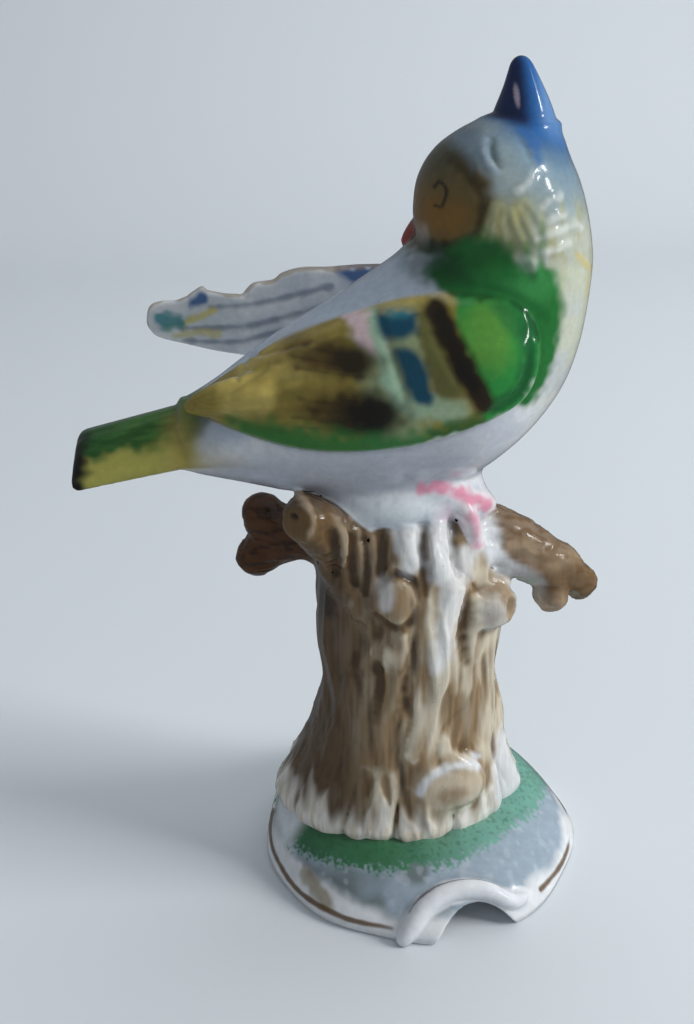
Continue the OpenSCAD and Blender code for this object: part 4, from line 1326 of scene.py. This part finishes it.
def paint_far_wing(c):
    """White, with grey grooves, blue at its ends and a thin brown rim."""
    c.fill(tone(240, 243, 246))
    c.lay(0.3 * smooth(0.0, 0.3, c.cloud + 0.1), GREY_BLUE)
    for points in FAR_GROOVES[:3]:
        c.line(points, 0.35, tone(128, 142, 164), 0.4, 0.3, 0.7)
    c.line([(-36.6, 83.4), (-33.0, 84.2), (-29.6, 86.0)], 0.5, tone(220, 206, 110), 0.4, 0.4, 0.8)
    c.line([(-35.4, 81.8), (-32.0, 82.6), (-29.0, 82.2)], 0.5, tone(220, 206, 110), 0.4, 0.4, 0.6)
    c.area([(-37.8, 85.2), (-34.2, 85.4), (-34.2, 83.2), (-37.4, 83.0)], TEAL_PALE, 0.5, 0.6, 0.9)
    c.area([(-33.2, 86.6), (-31.6, 88.6), (-30.2, 88.0), (-30.6, 86.6)], BLUE, 0.4, 0.4, 0.9)
    c.area([(-11.6, 92.2), (-9.0, 90.2), (-5.0, 90.6), (-3.0, 93.4)], BLUE, 0.7, 0.6, 0.9)
    rim = abs(patch(c.x, c.z, FAR_WING))
    c.lay(0.6 * (1 - smooth(0.05, 0.35, rim + 0.5 * c.ragged)) * smooth(82, 84, c.z), tone(150, 120, 70))


small_block("far_wing", (-41.5, 7.5, 76.0), (3.5, 20.5, 94.5), far_wing_shape(), paint_far_wing,
            far_wing_relief)


# ---- the base ------------------------------------------------------------------

NOTCH_AT = math.radians(-80)
NOTCH_WIDE = 6.6
NOTCH_TALL = 4.2
SEAT = 9.5
WALL = 2.4
# the dome from its foot to the seat: [z, half width, half depth, centre x, centre y]
DOME = curve([
    [-1.0, 25.1, 25.0, 0, 0],
    [0.9, 25.5, 25.4, 0, 0],
    [1.6, 25.3, 25.2, 0, 0],
    [2.4, 24.7, 24.7, 0, 0.1],
    [3.8, 23.9, 23.5, -0.2, 0.4],
    [5.6, 22.8, 21.7, -0.7, 1.0],
    [7.4, 21.5, 19.7, -1.3, 1.9],
    [8.7, 20.5, 18.0, -1.8, 2.5],
    [10.5, 18.4, 15.8, -2.0, 2.8],
], 5)
# the rolled edge that follows the notch: (x, y, z, r)
ROLL = [(-6.6, -24.2, 0.9, 1.3), (-5.0, -23.4, 2.8, 1.35), (-2.9, -22.0, 4.5, 1.4), (0.2, -21.0, 5.6, 1.4),
        (3.4, -20.8, 5.9, 1.35), (6.4, -21.0, 5.4, 1.3), (8.8, -21.6, 4.3, 1.15), (10.6, -21.6, 3.3, 1.0),
        (12.2, -20.9, 3.1, 0.8)]


def dome(x, y, z, thinner=0.0):
    """Distance from the outside of the dome, or from inside its wall."""
    rx, ry, cx, cy = (np.interp(z + thinner * 0.6, DOME[:, 0], DOME[:, k]) for k in (1, 2, 3, 4))
    u, v = x - cx, y - cy
    t = np.arctan2(v, u)
    wave = (0.3 * np.cos(5 * t + 0.7) + 0.2 * np.cos(9 * t + 2.0)) * smooth(9, 2, z)
    rx, ry = rx - thinner + wave, ry - thinner + wave
    g = np.sqrt((u / rx) ** 2 + (v / ry) ** 2) + 1e-6
    fall = np.sqrt((u / rx**2) ** 2 + (v / ry**2) ** 2) / g
    return (g - 1) / np.maximum(fall, 0.02)


def base_shape():
    """The dome with its wall, the well under the trunk, the notch and the rolled edge over it."""
    low, high = np.array([-27.0, -27.0, -0.5]), np.array([27.0, 27.0, 11.0])
    radius = (NOTCH_WIDE**2 + NOTCH_TALL**2) / (2 * NOTCH_TALL)

    def field(x, y, z):
        t = np.arctan2(y - 2.8, x + 2.2)
        ribs = 0.3 * np.sin(11 * t + 1.5 * np.sin(4 * t)) * smooth(7.5, 9, z)
        solid = both(dome(x, y, z), z - SEAT - ribs, 2.2)
        inside = both(dome(x, y, z, WALL), z - SEAT + WALL, 1.5)
        well = np.hypot((x + 2.2) / 13.4, (y - 2.8) / 10.8) * 11 - 11
        solid = both(both(solid, -inside, 0.4), -well, 0.4)
        out = x * math.cos(NOTCH_AT) + y * math.sin(NOTCH_AT)
        across = y * math.cos(NOTCH_AT) - x * math.sin(NOTCH_AT)
        notch = np.where(out > 12, np.hypot(across, z - NOTCH_TALL + radius) - radius, FAR)
        near_roll = (y < -15) & (x > -12)
        for _, _, tube in limb(ROLL, 3):
            solid = np.where(near_roll, melt(solid, tube(x, y, z), 0.45), solid)
        return np.maximum(both(solid, -notch, 0.5), -z)

    return low, high, field


# where the green round the foot ends: (bearing in degrees, distance)
RING_OUT = np.array([(-180, 24.6), (-150, 24.5), (-128, 22.7), (-101, 20.4), (-71, 18.6), (-45, 18.4),
                     (-21, 19.6),
                     (8, 22.7), (39, 24.5), (90, 24), (180, 24.6)])
# the gold lines on the rim
GOLD_LEFT = [(-24.4, 5.0, 1.9), (-24.9, -0.5, 2.2), (-24.0, -6.6, 2.0), (-21.2, -14.0, 1.8),
             (-14.8, -20.2, 1.8),
             (-8.4, -23.4, 2.1)]
GOLD_RIGHT = [(21.6, 14.0, 2.0), (24.4, 8.0, 2.2), (25.0, 1.3, 2.2), (23.6, -7.4, 2.0), (20.6, -13.4, 1.9),
              (15.6, -18.8, 2.4)]


def paint_base(c):
    """Green stippled round the foot, a blue wash, and thin gold along the rim."""
    x, y, z = c.x, c.y, c.z
    bearing = np.degrees(np.arctan2(y - 3, x - 1))
    reach = np.hypot(x - 1, y - 3)
    fine = noise(x, y, z, 0.4, 3.0) - 0.5
    rho = np.hypot(x, y)
    wash = smooth(24.4, 22.6, rho + 1.6 * c.cloud + 0.5 * c.ragged)
    c.lay(0.9 * wash, tone(142, 160, 176))
    # painted shade: the wash is darkened in patches over the left half
    c.lay(0.75 * wash * smooth(-0.2, 0.3, c.cloud) * smooth(8, -2, x), tone(88, 100, 96))
    c.lay(0.25 * wash * smooth(0.1, 0.3, c.ragged), tone(200, 208, 218))
    rim = np.interp(bearing, RING_OUT[:, 0], RING_OUT[:, 1])
    ring = smooth(0.9, -0.5, reach - rim + 1.2 * c.cloud + 2.4 * fine)
    gap_left = smooth(-160, -156, bearing + 3 * c.cloud) + (bearing > 60)
    ring = ring * np.clip(gap_left, 0, 1)
    c.lay(0.95 * ring, tone(108, 162, 146))
    # painted shade: the green ring darkens steadily towards the left, away from the light
    c.lay(0.9 * ring * smooth(10, -10, x), tone(48, 104, 62))
    c.lay(0.4 * ring * smooth(0.08, 0.3, fine + 0.3 * c.cloud), tone(44, 92, 56))
    c.lay(0.9 * smooth(-2, -6, x) * smooth(-152, -160, bearing) * smooth(24.4, 23, rho),
          tone(220, 226, 232))
    smear, _ = along(c.p, [(-20.6, -12.6, 4.4), (-18.9, -15.0, 3.4), (-17.4, -17.4, 2.8)])
    c.lay(0.7 * smooth(1.9, 0.5, smear + c.ragged), tone(140, 122, 84))
    roll, _ = along(c.p, [q[:3] for q in ROLL])
    c.lay(smooth(2.1, 1.5, roll), tone(226, 230, 236))
    c.lay(0.9 * smooth(1.3, 0.5, z) * smooth(23, 24, rho), WHITE)
    above = curve([(x0 - 0.3, y0 + 0.9, z0 + 1.2) for x0, y0, z0, _ in ROLL[1:7]], 4)
    d, _ = along(c.p, above)
    c.lay(0.85 * smooth(0.55, 0.2, d + 0.25 * c.ragged), tone(92, 66, 84))
    for path in (GOLD_LEFT, GOLD_RIGHT):
        line = curve(path, 5)
        d, share = along(c.p, line)
        width = 0.34 + 0.4 * smooth(0.25, 0.0, share)
        c.lay(0.9 * smooth(width + 0.25, width - 0.1, d + 0.15 * c.ragged), GOLD)


small_block("base_plinth", (-27.5, -27.5, -1.0), (27.5, 27.5, 11.5), base_shape(), paint_base,
            lambda b: None)


# ---- stage, light and camera -------------------------------------------------------


def plain(name, colour, rough):
    """A plain matt material."""
    m = bpy.data.materials.new(name)
    m.use_nodes = True
    shader = m.node_tree.nodes["Principled BSDF"]
    shader.inputs["Base Color"].default_value = (*colour, 1)
    shader.inputs["Roughness"].default_value = rough
    return m


def sweep():
    """A floor that curves up into a wall a long way behind."""
    width, front, back, bend, tall = 4.0, -1.6, 0.42, 0.25, 2.4
    profile = [(front, 0.0), (back, 0.0)]
    for k in range(1, 13):
        a = math.pi / 2 * k / 12
        profile.append((back + bend * math.sin(a), bend * (1 - math.cos(a))))
    profile.append((back + bend, tall))
    verts = [(sx * width, y, z) for y, z in profile for sx in (-1, 1)]
    faces = [(2 * i, 2 * i + 1, 2 * i + 3, 2 * i + 2) for i in range(len(profile) - 1)]
    mesh = bpy.data.meshes.new("sweep")
    mesh.from_pydata(verts, [], faces)
    mesh.shade_smooth()
    mesh.materials.append(plain("paper", tone(211, 217, 223), 0.6))
    thing = bpy.data.objects.new("sweep", mesh)
    bpy.context.scene.collection.objects.link(thing)
    thing.visible_glossy = False


def lamp(name, place, aim, power, size, colour=(1, 1, 1), mirrored=True):
    """A rectangular lamp. One that isn't mirrored lights the glaze but doesn't show in it."""
    light = bpy.data.lights.new(name, "AREA")
    light.energy = power
    light.shape = "RECTANGLE"
    light.size, light.size_y = size
    light.color = colour
    thing = bpy.data.objects.new(name, light)
    thing.location = place
    bpy.context.scene.collection.objects.link(thing)
    thing.rotation_euler = (Vector(aim) - Vector(place)).to_track_quat("-Z", "Y").to_euler()
    thing.visible_glossy = mirrored


def camera(place, tilt, turn):
    """A camera that looks down by 90 degrees less the tilt."""
    data = bpy.data.cameras.new("camera")
    data.sensor_fit = "VERTICAL"
    data.sensor_height = 36
    data.lens = 38.67
    data.clip_start = 0.01
    thing = bpy.data.objects.new("camera", data)
    thing.location = place
    thing.rotation_euler = (math.radians(tilt), 0, math.radians(turn))
    bpy.context.scene.collection.objects.link(thing)
    bpy.context.scene.camera = thing


MIDDLE = (0, 0, 0.06)
sweep()
lamp("window", (0.80, -0.22, 0.50), MIDDLE, 7.0, (0.34, 0.4), (1.0, 0.99, 0.97), mirrored=False)
lamp("ceiling", (0.25, 0.35, 1.1), MIDDLE, 6.0, (1.0, 1.0), (0.97, 0.99, 1.0), mirrored=False)
lamp("left_fill", (-0.9, -0.3, 0.7), MIDDLE, 1.2, (1.2, 1.0), (0.94, 0.97, 1.0), mirrored=False)
lamp("front_fill", (0.0, -1.1, 0.6), MIDDLE, 1.5, (1.2, 1.0), mirrored=False)
# two small panes give the glaze its glints
lamp("pane", (0.75, -0.38, 0.42), (0, 0, 0.07), 0.5, (0.07, 0.12))
lamp("upper_pane", (0.72, -0.28, 0.60), (0, 0, 0.07), 0.4, (0.07, 0.1))
world = bpy.data.worlds.new("room")
world.use_nodes = True
air = world.node_tree.nodes["Background"]
air.inputs["Color"].default_value = (0.80, 0.86, 0.92, 1)
air.inputs["Strength"].default_value = 0.14
bpy.context.scene.world = world
bpy.context.scene.view_settings.view_transform = "Standard"
camera((-0.030355, -0.14281, 0.127), tilt=64.9, turn=-7.3226)
